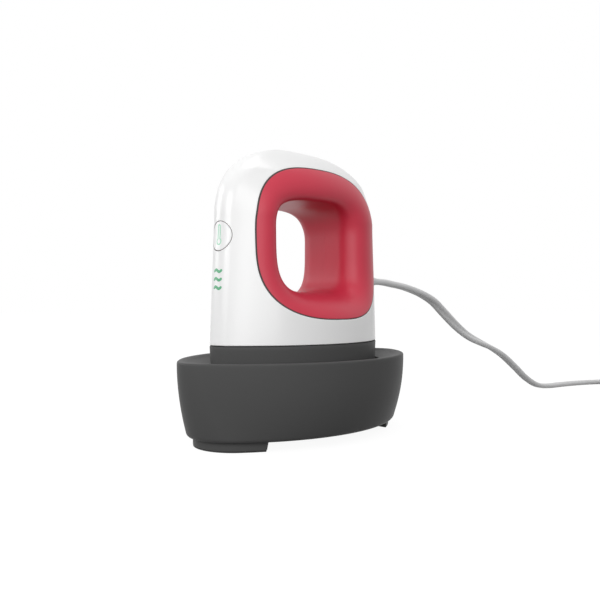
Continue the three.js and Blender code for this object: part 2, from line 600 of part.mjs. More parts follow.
// Well: a shallow deck inside the rim slopes down to a mouth round the press, above the well's walls
function baseWell() {
  const wallLoop = (z, grow) => {
    const inset = WELL.draft * Math.max(WELL.mouthZ - z, 0) - grow;
    return lens(WELL.mouthHalfLength - inset, WELL.mouthHalfWidth - inset, WELL.mouthCornerRadius - inset, z);
  };
  const [rimLength, rimWidth, rimRadius] = baseSection(WELL.topZ);
  const rimLoop = (z, inset) => lens(rimLength - inset, rimWidth - inset, rimRadius - inset, z);
  const play = WALL + 0.35;
  const edge = 0.6;
  const outer = solid(loft([
    wallLoop(WELL.floorZ, WELL.wall - 1.2), wallLoop(WELL.floorTopZ, WELL.wall),
    wallLoop(WELL.mouthZ - 1.8, WELL.wall), rimLoop(WELL.topZ - 1.6, play + 0.5), rimLoop(WELL.topZ, play),
  ]));
  const inner = solid(loft([
    wallLoop(WELL.floorTopZ, -1.5), wallLoop(WELL.floorTopZ + 2, 0), wallLoop(WELL.mouthZ - edge, 0),
    wallLoop(WELL.mouthZ, edge), rimLoop(WELL.topZ, play + WELL.wall), rimLoop(WELL.topZ + 1, play + 1),
  ]));
  const bosses = BASE_SCREWS.map(([x, y]) => roundZ(x, y, 3.6, 9.8, WELL.floorZ + 0.5));
  const holes = BASE_SCREWS.map(([x, y]) => roundZ(x, y, 1.5 + SCREW_HOLE_PLAY, 9, 12.9, 8));
  return cutAll(joinAll(outer.subtract(inner), bosses), holes);
}

// Part of a lens prism beyond a slanted end plane, at the front (-1) or rear (+1)
function crescent(end, halfLength, halfWidth, cornerRadius, z0, z1, startX, lean = 0, edge = 0.7) {
  const prism = solid(loft([
    lens(halfLength - edge, halfWidth - edge, cornerRadius, z0),
    lens(halfLength, halfWidth, cornerRadius, Math.min(z0 + 1, z1)),
    lens(halfLength, halfWidth, cornerRadius, z1 + 1),
  ]));
  const keep = new THREE.Shape([[startX + lean, z0], [70, z0], [70, z1], [startX, z1]].map(
    ([x, z]) => new THREE.Vector2(end * x, z)));
  const geometry = new THREE.ExtrudeGeometry(keep, { depth: 80, bevelEnabled: false });
  return prism.intersect(solid(geometry.rotateX(Math.PI / 2).translate(0, 40, 0)));
}

function baseCover() {
  const plateZ = 5.2;
  const plate = lensPrism(BASE.footHalfLength - 0.6, BASE.footHalfWidth - 0.6, 17.5, plateZ, 7.2);
  const feet = [-1, 1].map((end) => crescent(end, BASE.footHalfLength, BASE.footHalfWidth,
    BASE.footCornerRadius, BASE.footZ, plateZ + 0.5, BASE.footStartX, BASE.footLean, 0.2));
  const heads = BASE_SCREWS.map(([x, y]) => roundZ(x, y, 3.2, 0, 5, 16));
  const holes = BASE_SCREWS.map(([x, y]) => roundZ(x, y, 1.5 + SCREW_HOLE_PLAY, 4, 8, 8));
  return cutAll(joinAll(plate, feet), [...heads, ...holes]);
}

// Rubber pad under a foot, level with the foot's sides
function footPad(end) {
  const inset = 0.1;
  return crescent(end, BASE.footHalfLength - inset, BASE.footHalfWidth - inset, BASE.footCornerRadius,
    0, BASE.footZ, BASE.footStartX + BASE.footLean + inset, 0, 0.3);
}

// Silicone pad in the well, under one end of the heat plate
const restPad = (end) => crescent(end, 39.5, 22.5, 8, WELL.floorTopZ, PLATE.bottomZ, 27);

// Fasteners: a shank with a pan head on top, standing at its own origin
function screwGeometry(shankRadius, shankLength, headRadius, headHeight) {
  const profile = [
    [0, -shankLength], [shankRadius, -shankLength + shankRadius], [shankRadius, 0],
    [headRadius, 0], [headRadius * 0.8, headHeight], [0, headHeight],
  ].map(([r, y]) => new THREE.Vector2(r, y));
  return new THREE.LatheGeometry(profile, 8).rotateX(Math.PI / 2);
}

function latheAlongX(profile, y, z, sides) {
  const outline = profile.map(([x, r]) => new THREE.Vector2(r, x));
  return new THREE.LatheGeometry(outline, sides).rotateZ(-Math.PI / 2).translate(0, y, z);
}

// Cord
function cordBush() {
  return latheAlongX([
    [31, 0], [31, 2.9], [38.2, 3.1], [38.2, 4.9], [39.5, 4.9], [39.5, 3.5], [44.3, 3.5], [44.3, 4],
    [45.3, 4], [45.6, 3.6], [CORD.exitX - GAP, 2.6], [CORD.exitX - GAP, 0],
  ], 0, CORD.exitZ, 16);
}

const cordInnerRoute = [
  [30.7, 0, CORD.exitZ], [29, 0, CORD.exitZ], [27.2, 0, 63.8], [26.9, 0, 60], [26.9, 0, 55],
  [26.9, 0, 50.5], [26.5, 0.8, 47.6], [23.8, 3.2, 46.3], [19, 5.3, 46.6], [14.4, 5.5, 46.9],
];

const COIL_TURNS = COIL.turnsDown + COIL.climbTurns + COIL.turnsUp;

// Outer radius that uses up the cord's length
function radiusForLength() {
  const wound = CORD.length - smoothCurve(CORD_ROUTE).getLength() - COIL.lead - CORD.width;
  const meanRadius = wound / (2 * Math.PI * COIL_TURNS);
  return meanRadius + COIL.pitch * (COIL.turnsDown + COIL.turnsUp) / 4;
}

const outerRadius = radiusForLength();
const innerRadius = outerRadius - COIL.pitch * COIL.turnsDown;
const coilCentreX = COIL.eastX - outerRadius;

// Centre line of the coil at a number of turns from its start: in on the lower layer, out on the upper
function coilPoint(turn) {
  const climbEnd = COIL.turnsDown + COIL.climbTurns;
  let radius = innerRadius;
  let z = COIL.lowZ;
  if (turn < COIL.turnsDown) {
    radius = outerRadius - COIL.pitch * turn;
  } else if (turn < climbEnd) {
    const part = (turn - COIL.turnsDown) / COIL.climbTurns;
    z += (COIL.highZ - COIL.lowZ) * (1 - Math.cos(Math.PI * part)) / 2;
    radius -= COIL.climbDip * Math.sin(Math.PI * part) ** 0.7;
  } else {
    radius = innerRadius + COIL.pitch * (turn - climbEnd);
    z = COIL.highZ;
  }
  const angle = -2 * Math.PI * turn;
  return new THREE.Vector3(coilCentreX + radius * Math.cos(angle), COIL.y + radius * Math.sin(angle), z);
}

function coilLine() {
  const points = [new THREE.Vector3(COIL.eastX, COIL.y + COIL.lead, COIL.lowZ)];
  for (let i = 0; i <= COIL_TURNS * COIL.stepsPerTurn; i += 1) points.push(coilPoint(i / COIL.stepsPerTurn));
  const last = points[points.length - 1];
  points.push(new THREE.Vector3(last.x - CORD.width, last.y, last.z));
  return points;
}

// One unbroken flat tube, standing on edge, along a nearly level line
function coilGeometry(line) {
  const [w, h] = [CORD.thickness / 2, CORD.width / 2];
  const section = [[w, h * 0.5], [0, h], [-w, h * 0.5], [-w, -h * 0.5], [0, -h], [w, -h * 0.5]];
  const loops = line.map((point, i) => {
    const before = line[Math.max(i - 1, 0)];
    const after = line[Math.min(i + 1, line.length - 1)];
    const heading = after.clone().sub(before).setZ(0).normalize();
    if (i === 0) heading.set(0, -1, 0);
    if (i === line.length - 1) heading.set(-1, 0, 0);
    return section.map(([u, v]) => [point.x - u * heading.y, point.y + u * heading.x, point.z + v]);
  });
  return loft(loops);
}

const coil = coilLine();
const tail = coil[coil.length - 1];
const plugFaceX = tail.x - GAP;

function cordTie() {
  const outer = outerRadius + CORD.thickness / 2 + 0.4;
  const inner = innerRadius - CORD.thickness / 2 - 0.4;
  const top = COIL.highZ + CORD.width / 2 + 0.3;
  const band = 0.4;
  const shape = new THREE.Shape([[inner - band, 0], [outer + band, 0], [outer + band, top + band],
    [inner - band, top + band]].map(([x, z]) => new THREE.Vector2(x, z)));
  shape.holes.push(new THREE.Path([[inner, band], [outer, band], [outer, top], [inner, top]].map(
    ([x, z]) => new THREE.Vector2(x, z))));
  const width = 7;
  return new THREE.ExtrudeGeometry(shape, { depth: width, bevelEnabled: false })
    .rotateX(Math.PI / 2).translate(0, width / 2, 0);
}

function plugBody() {
  const frontX = plugFaceX - PLUG.reliefLength - PLUG.length;
  const relief = solid(latheAlongX([
    [plugFaceX - PLUG.reliefLength - 1, 0], [plugFaceX - PLUG.reliefLength - 1, 5],
    [plugFaceX - 8, 2.9], [plugFaceX, 2.75], [plugFaceX, 0],
  ], tail.y, tail.z, 16));
  const loop = (x, halfWidth, halfHeight) => Array.from({ length: 24 }, (_, i) => {
    const angle = 2 * Math.PI * i / 24;
    const [c, s] = [Math.cos(angle), Math.sin(angle)];
    return [x, tail.y + halfWidth * Math.sign(c) * Math.abs(c) ** 0.5,
      tail.z + halfHeight * Math.sign(s) * Math.abs(s) ** 0.5];
  });
  const [w, h] = [PLUG.width / 2, PLUG.height / 2];
  const shell = solid(loft([
    loop(frontX, w - 0.8, h - 0.8), loop(frontX + 0.8, w, h), loop(frontX + PLUG.length * 0.55, w, h),
    loop(frontX + PLUG.length * 0.85, w * 0.75, h * 0.8), loop(frontX + PLUG.length, w * 0.5, h * 0.62),
  ]));
  const slots = [-1, 1].map((side) => {
    const y = tail.y + side * PLUG.bladeY;
    const half = PLUG.bladeThickness / 2 + GAP;
    return block(frontX - 1, frontX + 6, y - half, y + half, tail.z - 3.45, tail.z + 3.45);
  });
  return cutAll(joinAll(shell, [relief]), slots);
}

function plugBlade(side) {
  const frontX = plugFaceX - PLUG.reliefLength - PLUG.length;
  const y = tail.y + side * PLUG.bladeY;
  const [half, high] = [PLUG.bladeThickness / 2, PLUG.bladeHeight / 2];
  return loft([
    [frontX - PLUG.bladeLength, 0.5, 0.65], [frontX - PLUG.bladeLength + 1.2, 1, 1], [frontX + 5.6, 1, 1],
  ].map(([x, thin, low]) => [[1, 1], [-1, 1], [-1, -1], [1, -1]].map(
    ([u, v]) => [x, y + u * half * thin, tail.z + v * high * low])));
}

// Assembly
const group = new THREE.Group();
const base = new THREE.Group();
const press = new THREE.Group();
const button = new THREE.Group();
group.add(base, press);
press.add(button);

function add(parent, name, shape, material, place = [0, 0, 0]) {
  const mesh = new THREE.Mesh(shape.isBufferGeometry ? shape : surface(shape), material);
  mesh.name = name;
  mesh.position.set(...place);
  parent.add(mesh);
  return mesh;
}

add(base, 'base_shell', baseShell(), CHARCOAL);
add(base, 'base_well', baseWell(), CHARCOAL);
add(base, 'base_cover', baseCover(), CHARCOAL);
add(base, 'foot_pad_front', footPad(-1), RUBBER);
add(base, 'foot_pad_rear', footPad(1), RUBBER);
add(base, 'rest_pad_front', restPad(-1), SILICONE);
add(base, 'rest_pad_rear', restPad(1), SILICONE);
BASE_SCREWS.forEach(([x, y], i) => {
  const screw = add(base, `base_screw_${i + 1}`, screwGeometry(1.5, 7.6, 2.7, 1.6), STEEL, [x, y, 5]);
  screw.rotation.x = Math.PI;
});

add(press, 'housing', housing(), WHITE);
add(press, 'grip_liner_right', gripLiner(-1), RASPBERRY);
add(press, 'grip_liner_left', gripLiner(1), RASPBERRY);
add(press, 'skirt', skirt(), CHARCOAL);
add(press, 'heat_plate', heatPlate(), ALUMINIUM);
add(press, 'heating_element', tube(elementRoute(), ELEMENT.radius, ELEMENT.radius, 6, 32), STEEL);
add(press, 'heat_shield', shieldSheet(38, 20.6, SHIELD_Z, SHIELD_Z + 0.8), STEEL);
add(press, 'insulation_pad', shieldSheet(37, 19.8, SHIELD_Z + 0.8, 31.2), FIBRE);
add(press, 'thermistor', roundY(-6, -3.4, 3.4, 25.4, 1.2), BRASS);
add(press, 'thermistor_clip', sensorClip(-6, 2, 5, 27.4), STEEL);
add(press, 'thermal_fuse', roundY(6, -4.6, 4.6, 25.5, 1.4), STEEL);
add(press, 'fuse_clip', sensorClip(6, 2.6, 5.8, 27.7), STEEL);
PLATE_SCREWS.forEach(([x, y], i) => {
  add(press, `plate_screw_${i + 1}`, screwGeometry(1.2, 7.4, 2.4, 1.6), STEEL, [x, y, SKIRT.deckTopZ]);
});
HOUSING_SCREWS.forEach(([x, y], i) => {
  add(press, `housing_screw_${i + 1}`, screwGeometry(1.3, 10.8, 2.6, 1.8), STEEL, [x, y, 46]);
});
add(press, 'control_board', controlBoard(), BOARD_GREEN);
add(press, 'relay', block(-15, 0, -6, 6, partTopZ, partTopZ + 7.6), DARK_PLASTIC);
add(press, 'capacitor', roundX(3, 16, -6.4, partTopZ + 3.6, 3.6), DARK_PLASTIC);
add(press, 'terminal_block', terminalBlock(), SILICONE);
BOARD_SCREWS.forEach(([x, y], i) => {
  add(press, `board_screw_${i + 1}`, screwGeometry(1, 8, 2, 1.3), STEEL, [x, y, partTopZ]);
});
[-1, 1].forEach((side) => {
  const leadRoute = [
    [ELEMENT.terminalX, side * ELEMENT.terminalY, ELEMENT.terminalTopZ + GAP],
    [ELEMENT.terminalX, side * ELEMENT.terminalY, 35], [23.2, side * 9.3, 38.6],
    [22.8, side * 9.2, BOARD_Z - GAP],
  ];
  add(press, side < 0 ? 'element_lead_1' : 'element_lead_2', tube(leadRoute, 0.9, 0.9, 6, 8), CORD_GREY);
});
add(press, 'indicator_board', block(-35.6, -34, -6.5, 6.5, 57, 92), BOARD_GREEN);
WAVE.zs.forEach((z, i) => {
  add(press, `wave_light_${i + 1}`, waveGuide(z), GREEN_LIGHT);
});
add(press, 'lamp_strip', block(-36.7, -35.6, -1, 1, WAVE.zs[2] - 1, WAVE.zs[0] + 1), GREEN_LIGHT);
add(press, 'switch_body', switchBody(), DARK_PLASTIC);
add(press, 'cord_bush', cordBush(), CORD_GREY);
add(press, 'cord_inner_end', tube(cordInnerRoute, 1.9, 1.5, 8, 18), CORD_GREY);
add(press, 'cord_clamp', cutAll(block(22.4, 24.7, -7.8, 7.8, CLAMP_Z - 2.3, CLAMP_Z + 2.3),
  CLAMP_SCREWS.map((y) => roundX(21, 26, y, CLAMP_Z, 1.1 + SCREW_HOLE_PLAY, 8))), DARK_PLASTIC);
CLAMP_SCREWS.forEach((y, i) => {
  const place = [22.4, y, CLAMP_Z];
  const screw = add(press, `cord_clamp_screw_${i + 1}`, screwGeometry(1.1, 11, 2.1, 1.4), STEEL, place);
  screw.rotation.y = -Math.PI / 2;
});
add(press, 'cord_run', tube(CORD_ROUTE, CORD.width / 2, CORD.thickness / 2, 8, 54), CORD_GREY);

add(button, 'button_cap', buttonCap(), WHITE);
add(button, 'button_icon', buttonIcon(), GREEN_LIGHT);
add(button, 'switch_plunger', roundX(-39.1, -37.3, 0, BUTTON.z, 1.7, 14), DARK_PLASTIC);

add(base, 'cord_coil', coilGeometry(coil), CORD_GREY);
const tie = add(base, 'cord_tie', cordTie(), DARK_PLASTIC, [coilCentreX, COIL.y, 0]);
tie.rotation.z = 2.3;
add(base, 'plug_body', plugBody(), CORD_GREY);
add(base, 'plug_blade_1', plugBlade(-1), BRASS);
add(base, 'plug_blade_2', plugBlade(1), BRASS);

export default group;
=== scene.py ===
"""Mini heat press standing in its base, with its flat mains cord: the looks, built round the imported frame.

Lengths in this file are in millimetres until a piece is made. +X runs from the button end to the cord end,
the hand hole runs along Y, and the table is at z = 0.
"""
import math

import bmesh
import bpy
import numpy as np
from mathutils import Matrix, Vector


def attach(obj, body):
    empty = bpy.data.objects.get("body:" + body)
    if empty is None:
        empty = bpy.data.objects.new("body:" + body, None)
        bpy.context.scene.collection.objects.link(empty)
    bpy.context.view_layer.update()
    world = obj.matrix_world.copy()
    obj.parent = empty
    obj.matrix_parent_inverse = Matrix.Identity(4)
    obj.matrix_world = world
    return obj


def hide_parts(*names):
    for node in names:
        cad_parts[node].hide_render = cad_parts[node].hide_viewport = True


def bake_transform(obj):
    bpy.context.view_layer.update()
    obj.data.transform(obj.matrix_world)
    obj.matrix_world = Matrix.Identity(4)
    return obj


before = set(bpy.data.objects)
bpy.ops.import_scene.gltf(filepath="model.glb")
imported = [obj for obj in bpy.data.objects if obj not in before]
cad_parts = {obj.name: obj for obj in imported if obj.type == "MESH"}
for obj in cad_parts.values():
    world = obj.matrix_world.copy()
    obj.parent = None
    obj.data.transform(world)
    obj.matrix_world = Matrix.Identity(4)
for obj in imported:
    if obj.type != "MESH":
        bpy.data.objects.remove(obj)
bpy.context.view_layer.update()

MM = 0.001
GAP = 0.3
WELD_METRES = 2e-6
SLIVER_METRES = 1e-7
SHARP_DEGREES = 38
TINY = 1e-9

# Camera, at the photograph's place
CAMERA_PLACE = (-206.3, -212.5, 55.8)
CAMERA_YAW = 0.77326
CAMERA_PITCH = 0.00506
CAMERA_ROLL = -0.00248
FOCAL_PIXELS = 683.7
FRAME_PIXELS = 600
SENSOR = 36.0

# Press body: lens-shaped sections that narrow to a dome
BODY_BOTTOM_Z = 39.5
BODY_TOP_Z = 121.0
BODY_BOTTOM_HALF = (45.0, 26.8)
END_SHOULDER = (88.5, 42.7, 2.5)
SIDE_SHOULDER = (90.8, 26.6, 1.42)
BODY_CORNER = 10.0
BOTTOM_STEPS = 72
HOUSING_WALL = 2.0

# Hand hole: rim on the sides, throat in the middle. Roundness: top rear, top front, bottom front, bottom rear
RIM = dict(z=80.4, front=34.8, rear=34.8, up=30.9, down=30.9, roundness=(2.5, 3.0, 3.0, 2.5))
THROAT = dict(z=83.9, front=25.3, rear=16.4, up=13.9, down=23.3, roundness=(2.8, 3.8, 3.8, 4.9))
LIP_ROUNDNESS = 1.45
THROAT_SOFTNESS = 2.2
# Share of the half width that is straight before the lip, towards each side of the hole
STRAIGHT = dict(front=0.6, rear=0.34, up=0.6, down=0.27)
RIM_PLAY = 0.24
EDGE = 0.3
LINER_WALL = 1.8
LIP_DEPTH = 1.4
# Depths of the dark rings that paint the shade in the gaps round the lining and the button
GAP_SHADE_DEPTH = 0.07
GAP_SHADE_BACK = 0.9

# Button and lights on the front end
BUTTON_Z = 82.2
BUTTON_RADIUS = 5.75
BUTTON_PLAY = 0.24
BUTTON_DISH = 0.12
BUTTON_BACK_X = -39.4
ICON_BOTTOM_Z = 78.6
ICON_TOP_Z = 86.8
WAVE_ZS = (68.6, 65.3, 62.0)
WAVE_LENGTH = 4.9

# Base
BASE_RIM = (59.9, 39.1, 12.6)
BASE_BOTTOM = (54.0, 32.3, 19.0)
BASE_RIM_Z = 33.65
BASE_BOTTOM_Z = 3.9
BASE_LENGTH_EASE = 1.75
BASE_WIDTH_EASE = 2.5
FOOT = (51.5, 28.8, 18.5)
FOOT_START_X = 34.7
FOOT_LEAN = 0.9
FOOT_PAD_INSET = 0.1
FOOT_PAD_TOP_Z = 0.6
WELL_MOUTH = (46.9, 28.7, 10.6)
WELL_MOUTH_Z = 30.9
WELL_FLOOR_Z = 14.0
WELL_TOP_Z = 32.9
WELL_DRAFT = 0.05

# Cord
CORD_WIDTH = 5.0
CORD_THICKNESS = 2.9
CORD_LENGTH = 1800.0
CORD_EXIT = (51.3, 0.0, 66.3)
CORD_HOLE_RADIUS = 3.85
COIL_TURNS_DOWN = 4.0
COIL_TURNS_UP = 3.75
COIL_CLIMB = 0.5
COIL_PITCH = 3.6
COIL_DIP = 1.8
COIL_LOW_Z = 3.1
COIL_HIGH_Z = 9.0
COIL_EAST_X = 292.0
COIL_Y = -70.0
COIL_LEAD = 10.0
CORD_ROUTE = [
    CORD_EXIT, (58, 0, 66.1), (65, 0, 65.3), (74, 0, 64.2), (83, 0, 62.4), (92, 0, 60),
    (101, 0, 56.5), (111, 0, 50.3), (124, 0, 42.4), (136, 0, 36.7), (148, 0, 32.8), (158, 0, 29.8),
    (172, -0.4, 24.3), (186, -1, 16.4), (199, -2, 8.2), (211, -3.4, 3), (223, -5, 1.5), (236, -7.6, 1.5),
    (249, -11, 1.5), (262, -16, 1.5), (273, -22.5, 1.5), (281.5, -30.2, 1.7), (287.5, -38.8, 2.3),
    (291, -47.6, 2.9), (292, -54.3, COIL_LOW_Z), (292, COIL_Y + COIL_LEAD + GAP, COIL_LOW_Z),
]
PLUG_LENGTH = 30.0
PLUG_HALF_WIDTH = 12.0
PLUG_RELIEF = 20.0
BLADE_Y = 6.35


# Mesh helpers
def full_turn(count, offset=0.0):
    """Angles of a full turn in equal steps."""
    return [2 * math.pi * (i + offset) / count for i in range(count)]


def quarter_turn(steps, first=0):
    """Angles from 0 to a quarter turn, for the rows of a rounded edge."""
    return [math.pi / 2 * i / steps for i in range(first, steps + 1)]


def add_object(name, data):
    made = bpy.data.objects.new(name, data)
    bpy.context.scene.collection.objects.link(made)
    return made


def make_mesh(name, parts):
    """A mesh from parts, each (vertices in millimetres, faces), welded where they meet."""
    bm = bmesh.new()
    for vertices, faces in parts:
        made = [bm.verts.new([c * MM for c in v]) for v in vertices]
        for face in faces:
            corners = [made[i] for i in face]
            if len(set(corners)) == len(corners):
                bm.faces.new(corners)
    bmesh.ops.remove_doubles(bm, verts=bm.verts, dist=WELD_METRES)
    bmesh.ops.dissolve_degenerate(bm, edges=bm.edges, dist=SLIVER_METRES)
    bmesh.ops.recalc_face_normals(bm, faces=bm.faces)
    mesh = bpy.data.meshes.new(name)
    bm.to_mesh(mesh)
    bm.free()
    return mesh


def smooth_shading(mesh):
    mesh.polygons.foreach_set("use_smooth", [True] * len(mesh.polygons))
    mesh.set_sharp_from_angle(angle=math.radians(SHARP_DEGREES))


def make_piece(name, parts, material, body, replaced=()):
    """A visible piece that rides a body and stands for the CAD nodes named last."""
    mesh = make_mesh(name, parts)
    piece = add_object(name, mesh)
    smooth_shading(mesh)
    mesh.materials.append(material)
    if body:
        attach(piece, body)
    if replaced:
        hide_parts(*replaced)
    return piece


def band(start_a, start_b, count, closed=True):
    """Quads between two rows of vertices of equal count."""
    quads = []
    for i in range(count if closed else count - 1):
        after = (i + 1) % count
        quads.append((start_a + i, start_a + after, start_b + after, start_b + i))
    return quads


def loft(loops, closed=True, start_cap=True, end_cap=True):
    """Rows of points of equal count, joined by quads, with a cap at each end if asked."""
    count = len(loops[0])
    vertices = [tuple(p) for loop in loops for p in loop]
    faces = []
    for k in range(len(loops) - 1):
        faces += band(k * count, (k + 1) * count, count, closed)
    if start_cap:
        faces.append(tuple(range(count)))
    if end_cap:
        faces.append(tuple(range((len(loops) - 1) * count, len(loops) * count)))
    return vertices, faces


def ring_loft(loops):
    """Rows of points round a ring, the last joined to the first."""
    return loft(list(loops) + [loops[0]], start_cap=False, end_cap=False)


def cut_with(piece, cutter_parts):
    """Takes a closed shape out of a closed piece."""
    cutter = add_object("cutter", make_mesh("cutter", cutter_parts))
    modifier = piece.modifiers.new("cut", "BOOLEAN")
    modifier.operation = "DIFFERENCE"
    modifier.solver = "EXACT"
    modifier.object = cutter
    graph = bpy.context.evaluated_depsgraph_get()
    cut_mesh = bpy.data.meshes.new_from_object(piece.evaluated_get(graph))
    piece.modifiers.clear()
    piece.data = cut_mesh
    bpy.data.objects.remove(cutter)


def drum_x(x0, x1, y, z, radius, sides=96):
    """Closed cylinder along X."""
    angles = full_turn(sides)
    return loft([[(x, y + radius * math.cos(a), z + radius * math.sin(a)) for a in angles] for x in (x0, x1)])


# Shapes of the press
def lens_numbers(half_length, half_width, corner):
    radius = min(corner, 0.6 * half_width, 0.6 * half_length)
    a = half_length - radius
    b = half_width - radius
    spine = (a * a + b * b) / (2 * b)
    return a, b, radius, spine


def lens(half_length, half_width, corner, z, arc_steps=72, end_steps=26):
    """Outline in plan: two long arcs joined by round ends."""
    a, b, radius, spine = lens_numbers(half_length, half_width, corner)
    half_angle = math.atan2(a, spine - b)
    quarter = math.pi / 2
    points = []

    def arc(cx, cy, r, start, sweep, steps):
        for i in range(steps):
            angle = start + sweep * i / steps
            points.append((cx + r * math.cos(angle), cy + r * math.sin(angle), z))

    arc(0, b - spine, spine + radius, quarter - half_angle, 2 * half_angle, arc_steps)
    arc(-a, 0, radius, quarter + half_angle, math.pi - 2 * half_angle, end_steps)
    arc(0, spine - b, spine + radius, 3 * quarter - half_angle, 2 * half_angle, arc_steps)
    arc(a, 0, radius, -quarter + half_angle, math.pi - 2 * half_angle, end_steps)
    return points


def inset_lens(sizes, inset, z):
    """Lens outline whose three sizes are all smaller by an inset."""
    return lens(*[size - inset for size in sizes], z)


def lens_half_width(half_length, half_width, corner, x):
    """Half width of a lens outline at a distance along it."""
    a, b, radius, spine = lens_numbers(half_length, half_width, corner)
    if abs(x) <= a + radius * a / spine:
        return math.sqrt((spine + radius) ** 2 - x * x) - (spine - b)
    return math.sqrt(max(radius ** 2 - (abs(x) - a) ** 2, 0))


def lens_reach(half_length, half_width, corner, y):
    """How far along X a lens outline reaches at a distance across it."""
    a, b, radius, spine = lens_numbers(half_length, half_width, corner)
    if abs(y) <= radius * (spine - b) / spine:
        return a + math.sqrt(radius ** 2 - y * y)
    return math.sqrt((spine + radius) ** 2 - (abs(y) + spine - b) ** 2)


def taper(z, bottom_half, shoulder):
    """Half size of the body at a height: straight up to the shoulder, then rounded over to the top."""
    shoulder_z, shoulder_half, roundness = shoulder
    rise = min((z - BODY_BOTTOM_Z) / (shoulder_z - BODY_BOTTOM_Z), 1)
    straight = bottom_half + (shoulder_half - bottom_half) * rise
    if z <= shoulder_z:
        return straight
    up = min((z - shoulder_z) / (BODY_TOP_Z - shoulder_z), 1)
    return straight * (1 - up ** roundness) ** (1 / roundness)


def body_section(z):
    """Half length, half width and corner radius of the body at a height."""
    half_length = taper(z, BODY_BOTTOM_HALF[0], END_SHOULDER)
    half_width = taper(z, BODY_BOTTOM_HALF[1], SIDE_SHOULDER)
    return half_length, half_width, BODY_CORNER


def body_half_width(x, z):
    half_length, half_width, corner = body_section(z)
    if half_length < 0.01 or half_width < 0.01:
        return 0.0
    return lens_half_width(half_length, half_width, corner, x)


def outline_quarter(outline, dx, dz, grow):
    """Power and reaches of the quarter of an outline that the direction (dx, dz) points into."""
    if dz >= 0:
        quarter = 0 if dx >= 0 else 1
    else:
        quarter = 2 if dx < 0 else 3
    power = 2 / outline["roundness"][quarter]
    reach_x = outline["front" if dx < 0 else "rear"] + grow
    reach_z = outline["down" if dz < 0 else "up"] + grow
    return power, reach_x, reach_z


def outline_point(outline, angle, grow=0.0):
    """Point of a rounded-square outline in the side view, at an angle from the rear."""
    c, s = math.cos(angle), math.sin(angle)
    power, reach_x, reach_z = outline_quarter(outline, c, s, grow)
    x = math.copysign(reach_x * abs(c) ** power, c)
    return x, outline["z"] + math.copysign(reach_z * abs(s) ** power, s)


def outline_angle_towards(outline, dx, dz, grow=0.0):
    """Angle at which an outline crosses the ray (dx, dz) from its centre."""
    power, reach_x, reach_z = outline_quarter(outline, dx, dz, grow)
    s = (abs(dz) / reach_z) ** (1 / power)
    c = (abs(dx) / reach_x) ** (1 / power)
    return math.atan2(math.copysign(s, dz), math.copysign(c, dx))


def body_silhouette():
    """Side view of the body's outline at y = 0, from its bottom front corner along the bottom and round."""
    low_z = BODY_BOTTOM_Z + EDGE
    half = body_section(low_z)[0]
    bottom = [(half * math.sin(math.pi * (i / BOTTOM_STEPS - 0.5)), low_z) for i in range(BOTTOM_STEPS)]
    side_steps = 34
    shoulder_z = END_SHOULDER[0]
    rear = [low_z + (shoulder_z - low_z) * i / side_steps for i in range(side_steps)]
    rear = [(body_section(z)[0], z) for z in rear]
    dome_steps = 64
    dome = []
    for i in range(dome_steps):
        turn = math.pi / 2 * i / dome_steps
        up = math.sin(turn) ** (2 / END_SHOULDER[2])
        z = shoulder_z + (BODY_TOP_Z - shoulder_z) * up
        dome.append((body_section(z)[0], z))
    half_way = rear + dome
    front = [(-x, z) for x, z in half_way]
    return bottom + half_way + [(0.0, BODY_TOP_Z)] + front[:0:-1]


